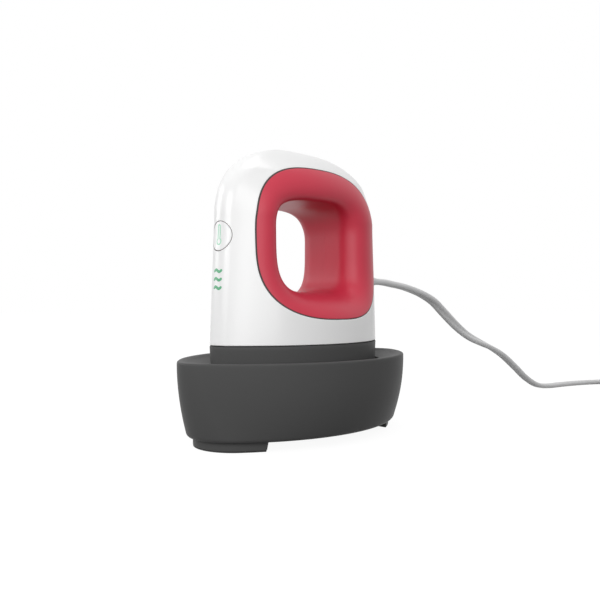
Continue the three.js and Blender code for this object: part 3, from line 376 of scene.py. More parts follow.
def housing_parts():
    """Closed shell: each side is a grid from the hole's rim out to the body's silhouette."""
    silhouette = body_silhouette()
    count = len(silhouette)
    across = 30
    centre = (0.0, RIM["z"])
    grow = RIM_PLAY + EDGE
    outer = np.zeros((count, across + 1, 3))
    for i, (end_x, end_z) in enumerate(silhouette):
        angle = outline_angle_towards(RIM, end_x - centre[0], end_z - centre[1], grow)
        start_x, start_z = outline_point(RIM, angle, grow)
        for j in range(across + 1):
            share = math.sin(math.pi / 2 * j / across)
            x = start_x + (end_x - start_x) * share
            z = start_z + (end_z - start_z) * share
            outer[i, j] = (x, -body_half_width(x, z), z)
        if i > BOTTOM_STEPS or i == 0:
            outer[i, across, 1] = 0.0
    along = np.roll(outer, -1, axis=0) - np.roll(outer, 1, axis=0)
    out = np.zeros_like(outer)
    out[:, 1:-1] = outer[:, 2:] - outer[:, :-2]
    out[:, 0] = outer[:, 1] - outer[:, 0]
    out[:, -1] = outer[:, -1] - outer[:, -2]
    normals = np.cross(along, out)
    normals /= np.maximum(np.linalg.norm(normals, axis=2, keepdims=True), TINY)
    if normals[count // 3, across // 2, 1] > 0:
        normals = -normals
    for i in range(count):
        if i > BOTTOM_STEPS or i == 0:
            edge_normal = normals[i, -1] * (1, 0, 1)
            normals[i, -1] = edge_normal / np.linalg.norm(edge_normal)
    inner = outer - normals * HOUSING_WALL

    # The rim's rounded edge, from the outer skin down to the inner one
    into_hole = outer[:, 0] - outer[:, 1]
    into_hole /= np.linalg.norm(into_hole, axis=1, keepdims=True)
    rolled = []
    for angle in quarter_turn(4, 1):
        shift = -EDGE * normals[:, 0] + EDGE * (normals[:, 0] * math.cos(angle) + into_hole * math.sin(angle))
        rolled.append(outer[:, 0] + shift)
    rolled.append(rolled[-1] - normals[:, 0] * (HOUSING_WALL - EDGE))

    parts = []
    for side in (1, -1):
        flip = np.array((1, side, 1))
        for skin in (outer, inner):
            vertices = (skin * flip).reshape(-1, 3)
            faces = []
            for i in range(count):
                after = (i + 1) % count
                for j in range(across):
                    row, next_row = i * (across + 1), after * (across + 1)
                    faces.append((row + j, row + j + 1, next_row + j + 1, next_row + j))
            parts.append((vertices, faces))
        rows = [outer[:, 0], *rolled, inner[:, 0]]
        parts.append(loft([row * flip for row in rows], start_cap=False, end_cap=False))

    # The bottom's rounded edge, all the way round
    edge_rows = []
    bottom_outer = outer[:BOTTOM_STEPS + 1, -1]
    bottom_normals = normals[:BOTTOM_STEPS + 1, -1] * (1, 1, 0)
    bottom_normals /= np.linalg.norm(bottom_normals, axis=1, keepdims=True)
    bottom_inner = inner[:BOTTOM_STEPS + 1, -1]
    for turn in (0.0, 0.33, 0.67, 1.0):
        angle = math.pi / 2 * turn
        shift = -EDGE * bottom_normals * (1 - math.cos(angle)) - np.array((0, 0, EDGE * math.sin(angle)))
        edge_rows.append(bottom_outer + shift)
    level = bottom_inner.copy()
    level[:, 2] = BODY_BOTTOM_Z
    edge_rows += [level, bottom_inner]
    for side in (1, -1):
        flip = np.array((1, side, 1))
        rows = [row * flip for row in edge_rows]
        parts.append(loft(rows, closed=False, start_cap=False, end_cap=False))
    return parts


def straight_share(angle):
    """Share of the half width that is straight before the lip, at an angle round the hole."""
    c, s = math.cos(angle), math.sin(angle)
    level = STRAIGHT["front" if c < 0 else "rear"]
    upright = STRAIGHT["down" if s < 0 else "up"]
    return level * c * c + upright * s * s


def liner_point(side, angle, depth):
    """Point of the lining, from the throat at depth 0 to the rim at a quarter turn."""
    rim_x, rim_z = outline_point(RIM, angle)
    throat_x, throat_z = outline_point(THROAT, angle)
    flare = 1 - max(math.cos(depth), 0.0) ** (2 / LIP_ROUNDNESS)
    straight = straight_share(angle)
    out = straight + (1 - straight) * math.sin(depth) ** (2 / THROAT_SOFTNESS)
    x = throat_x + (rim_x - throat_x) * flare
    z = throat_z + (rim_z - throat_z) * flare
    return np.array((x, side * body_half_width(x, z) * out, z))


def liner_parts(side):
    """One half of the grip lining, from the middle of the hole out to its rolled lip."""
    count = 220
    deep = 44
    back_step = 4
    half_gap = 0.02
    angles = full_turn(count, 0.5)
    face = np.array([[liner_point(side, angle, depth) for angle in angles] for depth in quarter_turn(deep)])
    around = np.roll(face, -1, axis=1) - np.roll(face, 1, axis=1)
    outwards = np.zeros_like(face)
    outwards[1:-1] = face[2:] - face[:-2]
    outwards[0] = face[1] - face[0]
    outwards[-1] = face[-1] - face[-2]
    normals = np.cross(around, outwards)
    normals /= np.maximum(np.linalg.norm(normals, axis=2, keepdims=True), TINY)
    if normals[-1, 0, 1] * side < 0:
        normals = -normals
    lip_out = outwards[-1] / np.linalg.norm(outwards[-1], axis=1, keepdims=True)
    lip_normal = normals[-1]
    rows = list(face)
    start = face[-1] - EDGE * lip_out
    for angle in quarter_turn(4, 1):
        shift = EDGE * (lip_out * math.sin(angle) - lip_normal * (1 - math.cos(angle)))
        rows.append(start + shift)
    rows[deep] = start
    rows.append(rows[-1] - lip_normal * LIP_DEPTH)
    back = face - normals * LINER_WALL
    rows += [back[j] for j in range(deep, -1, -back_step)]
    middle_y = np.array((0, side * half_gap, 0))
    tunnel_steps = 8
    near = face[0] * (1, 0, 1) + middle_y
    far = back[0] * (1, 0, 1) + middle_y
    tunnel = [near + (face[0] - near) * i / tunnel_steps for i in range(tunnel_steps)]
    return [ring_loft([far] + tunnel + rows)]


def rim_gap_shade_parts(side):
    """Painted shade: a dark ring just below the surface, in the gap between the housing and the lining, that
    stands for the gap's shadow.
    """
    count = 240
    overlap = 0.12
    near, far = -overlap, RIM_PLAY + overlap
    rows = []
    for grow, depth in ((near, GAP_SHADE_DEPTH), (far, GAP_SHADE_DEPTH), (far, GAP_SHADE_BACK), (near, GAP_SHADE_BACK)):
        row = []
        for angle in full_turn(count, 0.5):
            x, z = outline_point(RIM, angle, grow)
            row.append((x, side * (body_half_width(x, z) - depth), z))
        rows.append(row)
    return [ring_loft(rows)]


def button_gap_shade_parts():
    """Painted shade: a dark ring just below the surface, in the gap round the button, that stands for the
    gap's shadow.
    """
    count = 96
    overlap = 0.02
    near, far = BUTTON_RADIUS - overlap, BUTTON_RADIUS + BUTTON_PLAY + overlap
    rows = []
    for radius, depth in ((near, GAP_SHADE_DEPTH), (far, GAP_SHADE_DEPTH), (far, GAP_SHADE_BACK), (near, GAP_SHADE_BACK)):
        row = []
        for a in full_turn(count):
            row.append(on_front(radius * math.cos(a), BUTTON_Z + radius * math.sin(a), -depth))
        rows.append(row)
    return [ring_loft(rows)]


def skirt_parts():
    """Dark band under the white housing, with the deck that closes it."""
    bottom_z, top_z = 20.8, BODY_BOTTOM_Z - GAP
    bottom, top = (44.1, 26.1, 9.5), (45.1, 26.9, 10.0)
    edge = 0.35

    def row(z, inset):
        share = (z - bottom_z) / (top_z - bottom_z)
        sizes = [b + (t - b) * share - inset for b, t in zip(bottom, top)]
        return lens(*sizes, z)

    wall = 2.2
    chamfer = edge * 0.3
    inner_top_z, deck_z = 33.0, 34.0
    tongue_z, tongue_inset = top_z + 2.2, 3.8
    side_steps = 12
    rows = [row(inner_top_z, 3.0), row(inner_top_z, wall), row(bottom_z, wall)]
    rows += [row(bottom_z, edge), row(bottom_z + chamfer, chamfer)]
    for i in range(side_steps + 1):
        rows.append(row(bottom_z + edge + (top_z - bottom_z - 2 * edge) * i / side_steps, 0))
    rows += [row(top_z - chamfer, chamfer), row(top_z, edge), row(top_z, 2.4)]
    rows += [row(tongue_z, 2.6), row(tongue_z, tongue_inset), row(deck_z, tongue_inset)]
    return [loft(rows)]


# Shapes of the base
def base_sizes(z):
    """Half length, half width and corner radius of the base at a height."""
    rise = min(max((z - BASE_BOTTOM_Z) / (BASE_RIM_Z - BASE_BOTTOM_Z), 0), 1)
    length_ease = 1 - (1 - rise) ** BASE_LENGTH_EASE
    width_ease = 1 - (1 - rise) ** BASE_WIDTH_EASE
    return [
        BASE_BOTTOM[0] + (BASE_RIM[0] - BASE_BOTTOM[0]) * length_ease,
        BASE_BOTTOM[1] + (BASE_RIM[1] - BASE_BOTTOM[1]) * width_ease,
        BASE_BOTTOM[2] + (BASE_RIM[2] - BASE_BOTTOM[2]) * rise,
    ]


def base_row(z, inset, sizes_z=None):
    return inset_lens(base_sizes(z if sizes_z is None else sizes_z), inset, z)


def base_shell_parts():
    """Outer shell of the base, open in the middle for the well and below for the feet."""
    edge = 0.75
    rows = []
    round_bottom = 1.5
    bottom_inset = 1.1
    opening_play = 0.35
    for angle in quarter_turn(6):
        z = BASE_BOTTOM_Z + round_bottom * (1 - math.cos(angle))
        rows.append(base_row(z, bottom_inset * (1 - math.sin(angle))))
    low, high = BASE_BOTTOM_Z + round_bottom, BASE_RIM_Z - edge
    rows += [base_row(low + (high - low) * i / 30, 0) for i in range(1, 31)]
    for angle in quarter_turn(5, 1):
        rows.append(base_row(high + edge * math.sin(angle), edge * (1 - math.cos(angle))))
    wall, lip = 2.0, 3.85
    for inset, drop in ((1.5, 0.01), (1.8, 0.05), (2.2, 0.16), (2.8, 0.36), (3.35, 0.54), (lip, 0.7)):
        rows.append(base_row(BASE_RIM_Z - drop, inset, BASE_RIM_Z))
    rows.append(base_row(WELL_TOP_Z + 0.06, wall, BASE_RIM_Z))
    rows += [base_row(z, wall) for z in (30, 24, 18, 12, 8)]
    opening = [size + opening_play for size in FOOT[:2]] + [FOOT[2]]
    rows += [lens(*opening, 5.4), lens(*opening, BASE_BOTTOM_Z)]
    return [ring_loft(rows)]


def well_wall_row(z, grow):
    inset = WELL_DRAFT * max(WELL_MOUTH_Z - z, 0) - grow
    return inset_lens(WELL_MOUTH, inset, z)


def well_rim_row(z, inset):
    return inset_lens(base_sizes(WELL_TOP_Z), inset, z)


def base_well_parts():
    """The well in the base: a shallow deck inside the rim, a mouth round the press, and the walls below."""
    wall = 1.5
    play = 2.35
    edge = 0.6
    corner = 2.0
    rows = [well_wall_row(12.3, 0.3), well_wall_row(12.6, wall - 0.3), well_wall_row(WELL_FLOOR_Z, wall)]
    rows += [well_wall_row(WELL_MOUTH_Z - 1.8, wall), well_rim_row(WELL_TOP_Z - 1.6, play + 0.5)]
    rows += [well_rim_row(WELL_TOP_Z - 0.1, play), well_rim_row(WELL_TOP_Z, play + 0.1)]
    deck_start = np.array(well_rim_row(WELL_TOP_Z, play + wall))
    deck_end = np.array(well_wall_row(WELL_MOUTH_Z, edge))
    deck_steps = 14
    rows += [deck_start + (deck_end - deck_start) * i / deck_steps for i in range(deck_steps)]
    for turn in quarter_turn(6):
        rows.append(well_wall_row(WELL_MOUTH_Z - edge * (1 - math.cos(turn)), edge * (1 - math.sin(turn))))
    low_z = WELL_FLOOR_Z + corner
    for i in range(1, 13):
        rows.append(well_wall_row(WELL_MOUTH_Z - edge + (low_z - WELL_MOUTH_Z + edge) * i / 12, 0))
    for turn in quarter_turn(7, 1):
        rows.append(well_wall_row(low_z - corner * math.sin(turn), -1.5 * (1 - math.cos(turn))))
    return [loft(rows)]


def crescent_row(end, sizes, z, start_x):
    """Part of a lens outline beyond start_x at one end, closed by a straight line."""
    half_length, half_width, corner = sizes
    y_end = lens_half_width(half_length, half_width, corner, start_x)
    points = []
    steps = 60
    for i in range(steps + 1):
        y = y_end * math.sin(math.pi * (i / steps - 0.5))
        points.append((end * lens_reach(half_length, half_width, corner, y), y, z))
    chord_steps = 16
    for i in range(1, chord_steps):
        points.append((end * start_x, y_end * (1 - 2 * i / chord_steps), z))
    return points


def crescent(end, sizes, z0, z1, start_x, lean=0.0, edge=0.7):
    """Block of crescent plan, rounded round its lower edge, its inner face leaning back downwards."""
    rows = []
    for angle in quarter_turn(5):
        inset = edge * (1 - math.sin(angle))
        z = z0 + edge * (1 - math.cos(angle))
        grown = [sizes[0] - inset, sizes[1] - inset, sizes[2]]
        face_x = start_x + lean * (z1 - z) / (z1 - z0) + inset * 0.7
        rows.append(crescent_row(end, grown, z, face_x))
    rows.append(crescent_row(end, sizes, z1, start_x))
    return loft(rows)


def flat_lens_block(sizes, z0, z1, edge=0.4):
    """Flat block of lens plan, rounded at its lower and upper edges."""
    rows = []
    for angle in quarter_turn(3):
        inset = edge * (1 - math.sin(angle))
        rows.append(inset_lens(sizes, inset, z0 + edge * (1 - math.cos(angle))))
    for angle in quarter_turn(3):
        inset = edge * (1 - math.cos(angle))
        rows.append(inset_lens(sizes, inset, z1 - edge + edge * math.sin(angle)))
    return loft(rows)


def heat_plate_parts():
    """Pressing plate, with the step that its rim sits on and four posts."""
    edge = 0.5
    low_edge = 0.8
    face_z, rim_z = 17, 20.4
    post = [(4.2, 23.5), (4.2, 28.2), (3.9, 28.5), (2.9, 28.5), (2.9, 31.2)]
    sizes = (41.5, 24.5, 9.0)
    rows = []
    for angle in quarter_turn(5):
        inset = low_edge * (1 - math.sin(angle))
        rows.append(inset_lens(sizes, inset, face_z + low_edge * (1 - math.cos(angle))))
    for angle in quarter_turn(3):
        inset = edge * (1 - math.cos(angle))
        rows.append(inset_lens(sizes, inset, rim_z - edge + edge * math.sin(angle)))
    rows += [lens(40.7, 23.5, 8.2, rim_z), lens(40.4, 23.2, 8, 20.7)]
    rows += [lens(40.4, 23.2, 8, 23.6), lens(40, 22.8, 7.6, 24)]
    parts = [loft(rows)]
    for x in (-19, 19):
        for y in (-5.5, 5.5):
            parts.append(lathe_z(post, x, y))
    return parts


def lathe_z(profile, x, y, sides=32):
    """Closed turned shape about a vertical line, from rows of radius and height."""
    rows = []
    angles = full_turn(sides)
    for radius, z in profile:
        rows.append([(x + radius * math.cos(a), y + radius * math.sin(a), z) for a in angles])
    return loft(rows)


# Pieces on the front end
def front_x(y, z):
    return -lens_reach(*body_section(z), y)


def on_front(u, z, proud):
    """Point of the front surface, u to the right as someone facing it sees it, raised by a little."""
    return (front_x(-u, z) - proud, -u, z)


def button_cap_parts():
    """Round cap whose face follows the housing and is slightly dished."""
    sides = 96
    edge = 0.25
    middle = 0.02
    angles = full_turn(sides)

    def row(radius, drop):
        hollow = BUTTON_DISH * max(0.0, 1 - (radius / (BUTTON_RADIUS - edge)) ** 2)
        places = [(radius * math.cos(a), BUTTON_Z + radius * math.sin(a)) for a in angles]
        return [on_front(u, z, -drop - hollow) for u, z in places]

    rows = [row(middle + (BUTTON_RADIUS - edge - middle) * i / 14, 0) for i in range(15)]
    for turn in quarter_turn(4, 1):
        rows.append(row(BUTTON_RADIUS - edge + edge * math.sin(turn), edge * (1 - math.cos(turn))))
    back = []
    for a in angles:
        back.append((BUTTON_BACK_X, -BUTTON_RADIUS * math.cos(a), BUTTON_Z + BUTTON_RADIUS * math.sin(a)))
    return [loft(rows + [back])]


def icon_parts():
    """Outline of a thermometer, set into the button."""
    bulb_radius, stem_radius = 1.45, 0.85
    bulb_z, tip_z = ICON_BOTTOM_Z + bulb_radius, ICON_TOP_Z - stem_radius
    stroke = 0.5
    edge_rise, middle_rise, depth = 0.02, 0.06, 0.4

    def outline(bulb, stem):
        neck = math.asin(stem / bulb)
        points = []
        for i in range(41):
            a = math.pi / 2 + neck + (2 * math.pi - 2 * neck) * i / 40
            points.append((bulb * math.cos(a), bulb_z + bulb * math.sin(a)))
        for i in range(25):
            a = math.pi * i / 24
            points.append((stem * math.cos(a), tip_z + stem * math.sin(a)))
        return points

    outer = outline(bulb_radius, stem_radius)
    inner = outline(bulb_radius - stroke, stem_radius - stroke)

    def row(points, proud):
        lowered = []
        for u, z in points:
            share = ((u * u + (z - BUTTON_Z) ** 2) ** 0.5) / BUTTON_RADIUS
            lowered.append(on_front(u, z, proud - BUTTON_DISH * max(0.0, 1 - share * share)))
        return lowered

    middle = [((a[0] + b[0]) / 2, (a[1] + b[1]) / 2) for a, b in zip(outer, inner)]
    top = [row(outer, edge_rise), row(middle, middle_rise), row(inner, edge_rise)]
    return [ring_loft(top + [row(inner, -depth), row(outer, -depth)])]


def wave_parts(z):
    """One wavy light window, its face following the housing."""
    half, height = 0.55, 0.42
    edge_rise, middle_rise, depth = 0.02, 0.07, 0.6
    reach = WAVE_LENGTH / 2 - half
    rows = []
    steps = 56
    for i in range(steps + 1):
        s = (reach + half) * math.sin(math.pi * (i / steps - 0.5))
        u = min(max(s, -reach), reach)
        phase = math.pi * u / reach
        slope = -height * math.pi / reach * math.cos(phase)
        over = abs(s) - reach
        wide = half if over <= 0 else math.sqrt(max(half * half - over * over, 1e-6))
        v = z - height * math.sin(phase) + slope * (s - u)
        length = math.hypot(1, slope)
        side = (-slope / length, 1 / length)
        top = (s + wide * side[0], v + wide * side[1])
        low = (s - wide * side[0], v - wide * side[1])
        mid = (s, v)
        rows.append([on_front(*top, edge_rise), on_front(*mid, middle_rise), on_front(*low, edge_rise),
                     on_front(*low, -depth), on_front(*top, -depth)])
    return [loft(rows)]


# Cord
def centripetal_curve(route, per_span):
    """Points on the smooth curve through a route."""
    points = [np.array(p, float) for p in route]
    ends = [2 * points[0] - points[1], *points, 2 * points[-1] - points[-2]]
    made = []
    for k in range(len(points) - 1):
        p0, p1, p2, p3 = ends[k:k + 4]
        d0, d1, d2 = (max(np.linalg.norm(b - a) ** 0.5, 1e-6) for a, b in ((p0, p1), (p1, p2), (p2, p3)))
        start = ((p1 - p0) / d0 - (p2 - p0) / (d0 + d1) + (p2 - p1) / d1) * d1
        finish = ((p2 - p1) / d1 - (p3 - p1) / (d1 + d2) + (p3 - p2) / d2) * d1
        last = k == len(points) - 2
        for i in range(per_span + (1 if last else 0)):
            t = i / per_span
            cubic = 2 * p1 - 2 * p2 + start + finish
            square = -3 * p1 + 3 * p2 - 2 * start - finish
            made.append(cubic * t ** 3 + square * t ** 2 + start * t + p1)
    return made


def line_length(points):
    return float(sum(np.linalg.norm(b - a) for a, b in zip(points, points[1:])))


def coil_points(run_length, steps_per_turn=48):
    """Centre line of the coil: turns inwards on the table, a climb, and turns outwards on top."""
    turns = COIL_TURNS_DOWN + COIL_CLIMB + COIL_TURNS_UP
    mean_radius = (CORD_LENGTH - run_length - COIL_LEAD - CORD_WIDTH) / (2 * math.pi * turns)
    outer = mean_radius + COIL_PITCH * (COIL_TURNS_DOWN + COIL_TURNS_UP) / 4
    inner = outer - COIL_PITCH * COIL_TURNS_DOWN
    climb_end = COIL_TURNS_DOWN + COIL_CLIMB
    centre_x = COIL_EAST_X - outer
    points = []
    for share in (0.9, 0.6, 0.3):
        points.append(np.array((COIL_EAST_X, COIL_Y + COIL_LEAD * share, COIL_LOW_Z)))
    for i in range(int(turns * steps_per_turn) + 1):
        turn = i / steps_per_turn
        radius, z = inner, COIL_LOW_Z
        if turn < COIL_TURNS_DOWN:
            radius = outer - COIL_PITCH * turn
        elif turn < climb_end:
            part = (turn - COIL_TURNS_DOWN) / COIL_CLIMB
            z += (COIL_HIGH_Z - COIL_LOW_Z) * (1 - math.cos(math.pi * part)) / 2
            radius -= COIL_DIP * math.sin(math.pi * part) ** 0.7
        else:
            radius = inner + COIL_PITCH * (turn - climb_end)
            z = COIL_HIGH_Z
        angle = -2 * math.pi * turn
        points.append(np.array((centre_x + radius * math.cos(angle), COIL_Y + radius * math.sin(angle), z)))
    points.append(points[-1] + np.array((-CORD_WIDTH, 0, 0)))
    return points, centre_x, outer, inner


def twist_at(travelled, run_length):
    """Turn of the flat cord about its own line: half a turn on the way down, then on edge in the coil."""
    def ease(low, high):
        share = min(max((travelled - low) / (high - low), 0), 1)
        return share * share * (3 - 2 * share)

    over = math.pi * ease(22, 140)
    on_edge = math.pi / 2 * ease(run_length - 34, run_length + 2)
    return over + on_edge


def cord_section(steps=10):
    """Flat twin lead: two round cores side by side with a shallow groove between."""
    radius = CORD_THICKNESS / 2
    core = CORD_WIDTH / 2 - radius
    half = []
    for i in range(steps + 1):
        angle = -math.pi / 2 + math.pi * i / steps
        half.append((core + radius * math.cos(angle), radius * math.sin(angle)))
    groove = radius - 0.22
    shoulder_u, shoulder_v = core * 0.45, radius - 0.1
    across = [(shoulder_u, shoulder_v), (0.0, groove), (-shoulder_u, shoulder_v)]
    one_side = half + across
    return one_side + [(-u, -v) for u, v in one_side]


def cord_parts(line, run_length):
    """The flat cord along its centre line, turned about it as it goes."""
    section = cord_section()
    rows = []
    travelled = 0.0
    for i, point in enumerate(line):
        if i:
            travelled += float(np.linalg.norm(point - line[i - 1]))
        before, after = line[max(i - 1, 0)], line[min(i + 1, len(line) - 1)]
        heading = (after - before) / np.linalg.norm(after - before)
        across = np.cross(heading, (0, 0, 1))
        across /= np.linalg.norm(across)
        above = np.cross(across, heading)
        turn = twist_at(travelled, run_length)
        wide = across * math.cos(turn) + above * math.sin(turn)
        thin = above * math.cos(turn) - across * math.sin(turn)
        rows.append([point + wide * u + thin * v for u, v in section])
    return [loft(rows)]


def oval_rows(stations, y, z, sides=48):
    """Rows along X of rounded-square sections: x, half width, half height and roundness at each station."""
    rows = []
    for x, half_width, half_height, power in stations:
        row = []
        for angle in full_turn(sides):
            c, s = math.cos(angle), math.sin(angle)
            row.append((x, y + half_width * math.copysign(abs(c) ** (2 / power), c),
                        z + half_height * math.copysign(abs(s) ** (2 / power), s)))
        rows.append(row)
    return rows


def bush_parts():
    """Strain relief: a sleeve through the wall that tapers to the flat cord."""
    stations = [
        (31, 2.75, 2.75, 2), (31.15, 2.9, 2.9, 2), (38.2, 3.1, 3.1, 2), (38.2, 4.7, 4.7, 2),
        (38.4, 4.9, 4.9, 2), (39.3, 4.9, 4.9, 2), (39.5, 4.7, 4.7, 2), (39.5, 3.5, 3.5, 2),
        (44.2, 3.5, 3.4, 2), (44.3, 4.2, 3.7, 2), (45.2, 4.2, 3.6, 2), (45.5, 4.0, 3.3, 2),
    ]
    taper_start, taper_end = 45.5, CORD_EXIT[0] - GAP
    for i in range(1, 13):
        share = i / 12
        rib = 0.14 if i % 3 == 1 else 0.0
        stations.append((taper_start + (taper_end - taper_start) * share, 3.8 - 1.0 * share - rib,
                         2.9 - 1.15 * share - rib, 2 + 0.6 * share))
    stations += [(taper_end, 2.6, 1.5, 2.6)]
    return [loft(oval_rows(stations, 0, CORD_EXIT[2]))]


def plug_parts(tail):
    """Plug with a ribbed grip, narrowing to a grooved strain relief."""
    face = tail[0] - GAP
    front = face - PLUG_RELIEF - PLUG_LENGTH
    high = COIL_HIGH_Z
    wide = PLUG_HALF_WIDTH
    body = [(front, wide - 1.4, high - 1.4, 3.6), (front + 0.25, wide - 0.6, high - 0.7, 3.6),
            (front + 1.0, wide, high - 0.12, 3.6)]
    for i in range(1, 25):
        share = i / 24
        x = front + 1.0 + (PLUG_LENGTH - 1.6) * share
        narrow = max(0.0, (share - 0.42) / 0.58)
        ease = narrow * narrow * (3 - 2 * narrow)
        grip = 0.32 if 0.32 < share < 0.86 and i % 3 == 0 else 0.0
        half_width = wide - ease * wide * 0.5 - grip
        half_height = high - 0.12 - ease * high * 0.36 - grip
        body.append((x, half_width, half_height, 3.6 - 0.9 * ease))
    start = front + PLUG_LENGTH
    body.append((start, 5.4, 5.2, 2.6))
    ribs = 5
    for i in range(1, 8 * ribs + 1):
        share = i / (8 * ribs)
        in_groove = i % 8 in (3, 4, 5) and i < 8 * ribs - 4
        drop = 0.55 if in_groove else 0.0
        half_width = 4.6 - 1.7 * share - drop
        half_height = 4.4 - 1.55 * share - drop * 0.9
        body.append((start + PLUG_RELIEF * share, half_width, half_height, 2.2))
    return [loft(oval_rows(body, tail[1], tail[2]))]


def blade_parts(tail, side):
    """One flat blade of the plug, with a chamfered tip."""
    front = tail[0] - GAP - PLUG_RELIEF - PLUG_LENGTH
    y = tail[1] + side * BLADE_Y
    stations = [(front - 16, 0.3, 2.2, 8), (front - 15.6, 0.5, 2.7, 8), (front - 14.4, 0.75, 3.15, 8),
                (front + 5.6, 0.75, 3.15, 8)]
    return [loft(oval_rows(stations, y, tail[2], 40))]


def tie_parts(centre_x, outer, inner, turn=2.3):
    """Fabric strap round the coil's section, its end lapped over on the outside."""
    play = CORD_THICKNESS / 2 + 0.4
    r0, r1 = inner - play, outer + play
    top = COIL_HIGH_Z + CORD_WIDTH / 2 + 0.3
    corner = 1.4
    band_thick = 0.4
    path = []
    corners = [(r1 - corner, top - corner, 0), (r0 + corner, top - corner, 90),
               (r0 + corner, corner + 0.4, 180), (r1 - corner, corner + 0.4, 270)]
    for cx, cz, start in corners:
        for i in range(9):
            a = math.radians(start + 90 * i / 8)
            path.append((cx + corner * math.cos(a), cz + corner * math.sin(a), math.cos(a), math.sin(a)))
    lapped = path[:14]
    # Place across the strap and height in its thickness, for the corners of its section
    section = ((-1, 0.25), (-0.97, 0.75), (-0.9, 1), (0.9, 1), (0.97, 0.75), (1, 0.25), (0.97, 0), (-0.97, 0))
    c, s = math.cos(turn), math.sin(turn)

    def strap(points, low, high, half_width):
        rows = []
        for r, z, out_r, out_z in points:
            row = []
            for w, h in section:
                depth = low + (high - low) * h
                radial = r + out_r * depth
                height = max(z + out_z * depth, 0.0)
                across = w * half_width
                row.append((centre_x + radial * c - across * s, COIL_Y + radial * s + across * c, height))
            rows.append(row)
        return rows

    loop = ring_loft(strap(path, 0, band_thick, 3.5))
    lap = loft(strap(lapped, band_thick * 0.9, band_thick * 1.9, 3.3))
    return [loop, lap]


# Materials
GRAIN_RELIEF = 0.00002
METAL_RELIEF = 0.00001


def new_material(name):
    material = bpy.data.materials.new(name)
    material.use_nodes = True
    return material, material.node_tree.nodes, material.node_tree.links


def add_noise(nodes, links, place, scale, detail):
    noise = nodes.new("ShaderNodeTexNoise")
    noise.inputs["Scale"].default_value = scale
    noise.inputs["Detail"].default_value = detail
    links.new(place, noise.inputs["Vector"])
    return noise


def vary_colour(nodes, links, noise, low, high):
    tint = nodes.new("ShaderNodeMix")
    tint.data_type = "RGBA"
    tint.inputs["A"].default_value = (*low, 1)
    tint.inputs["B"].default_value = (*high, 1)
    links.new(noise.outputs["Fac"], tint.inputs["Factor"])
    links.new(tint.outputs["Result"], nodes["Principled BSDF"].inputs["Base Color"])


def vary_roughness(nodes, links, noise, low, high):
    gloss = nodes.new("ShaderNodeMapRange")
    gloss.inputs["To Min"].default_value = low
    gloss.inputs["To Max"].default_value = high
    links.new(noise.outputs["Fac"], gloss.inputs["Value"])
    links.new(gloss.outputs["Result"], nodes["Principled BSDF"].inputs["Roughness"])


def add_bump(nodes, links, noise, strength, relief):
    bump = nodes.new("ShaderNodeBump")
    bump.inputs["Strength"].default_value = strength
    bump.inputs["Distance"].default_value = relief
    links.new(noise.outputs["Fac"], bump.inputs["Height"])
    links.new(bump.outputs["Normal"], nodes["Principled BSDF"].inputs["Normal"])


def plastic(name, colour, roughness, grain=0.0, grain_size=0.15, mottle=0.02, coat=0.0, specular=0.5):
    """Moulded plastic: fine grain in the bump, and slight drift in colour and gloss."""
    material, nodes, links = new_material(name)
    shader = nodes["Principled BSDF"]
    shader.inputs["Specular IOR Level"].default_value = specular
    shader.inputs["Coat Weight"].default_value = coat
    place = nodes.new("ShaderNodeTexCoord")
    drift = add_noise(nodes, links, place.outputs["Object"], 18, 3)
    darker = [c * (1 - mottle) for c in colour]
    lighter = [min(c * (1 + mottle), 1) for c in colour]
    vary_colour(nodes, links, drift, darker, lighter)
    vary_roughness(nodes, links, drift, roughness * 0.92, roughness * 1.08)
    if grain:
        fine = add_noise(nodes, links, place.outputs["Object"], 1 / (grain_size * MM), 2)
        add_bump(nodes, links, fine, grain, GRAIN_RELIEF)
    return material


def metal(name, colour, roughness):
    """Metal with fine drawn lines along X and slight drift in gloss."""
    material, nodes, links = new_material(name)
    shader = nodes["Principled BSDF"]
    shader.inputs["Metallic"].default_value = 1.0
    place = nodes.new("ShaderNodeTexCoord")
    stretch = nodes.new("ShaderNodeMapping")
    stretch.inputs["Scale"].default_value = (40, 2500, 2500)
    links.new(place.outputs["Object"], stretch.inputs["Vector"])
    lines = add_noise(nodes, links, stretch.outputs["Vector"], 1, 3)
    vary_colour(nodes, links, lines, [c * 0.9 for c in colour], colour)
    vary_roughness(nodes, links, lines, roughness * 0.8, roughness * 1.2)
    add_bump(nodes, links, lines, 0.15, METAL_RELIEF)
    return material


def light_guide(name, colour, glow):
    """Clear plastic in front of a lamp that is on."""
    material = plastic(name, colour, 0.35, mottle=0.04)
    shader = material.node_tree.nodes["Principled BSDF"]
    shader.inputs["Emission Color"].default_value = (*colour, 1)
    shader.inputs["Emission Strength"].default_value = glow
    return material


WHITE = plastic("white_plastic", (0.87, 0.87, 0.87), 0.3, grain=0.05, mottle=0.006, coat=0.15, specular=1.0)
RASPBERRY = plastic("raspberry_plastic", (0.6, 0.03, 0.064), 0.42, grain=0.08, mottle=0.02, specular=0.5)
CHARCOAL = plastic("charcoal_plastic", (0.088, 0.088, 0.088), 0.42,
                   grain=0.2, grain_size=0.25, mottle=0.04, specular=0.03)
DARK = plastic("dark_plastic", (0.03, 0.03, 0.032), 0.6, grain=0.2, mottle=0.05)
# Painted shade: dark colour of the rings that stand for the shadow in the gaps round the lining and the
# button
GAP_SHADE = plastic("gap_shade", (0.09, 0.07, 0.07), 0.7, mottle=0.05, specular=0.1)
GREEN = light_guide("green_light", (0.1, 0.38, 0.2), 0.12)
MINT = light_guide("mint_light", (0.3, 0.62, 0.44), 0.15)
ALUMINIUM = metal("aluminium", (0.62, 0.63, 0.64), 0.34)
STEEL = metal("steel", (0.55, 0.55, 0.56), 0.3)
BRASS = metal("brass", (0.72, 0.55, 0.24), 0.22)
RUBBER = plastic("rubber", (0.05, 0.05, 0.05), 0.8, grain=0.4, grain_size=0.3, mottle=0.08, specular=0.15)
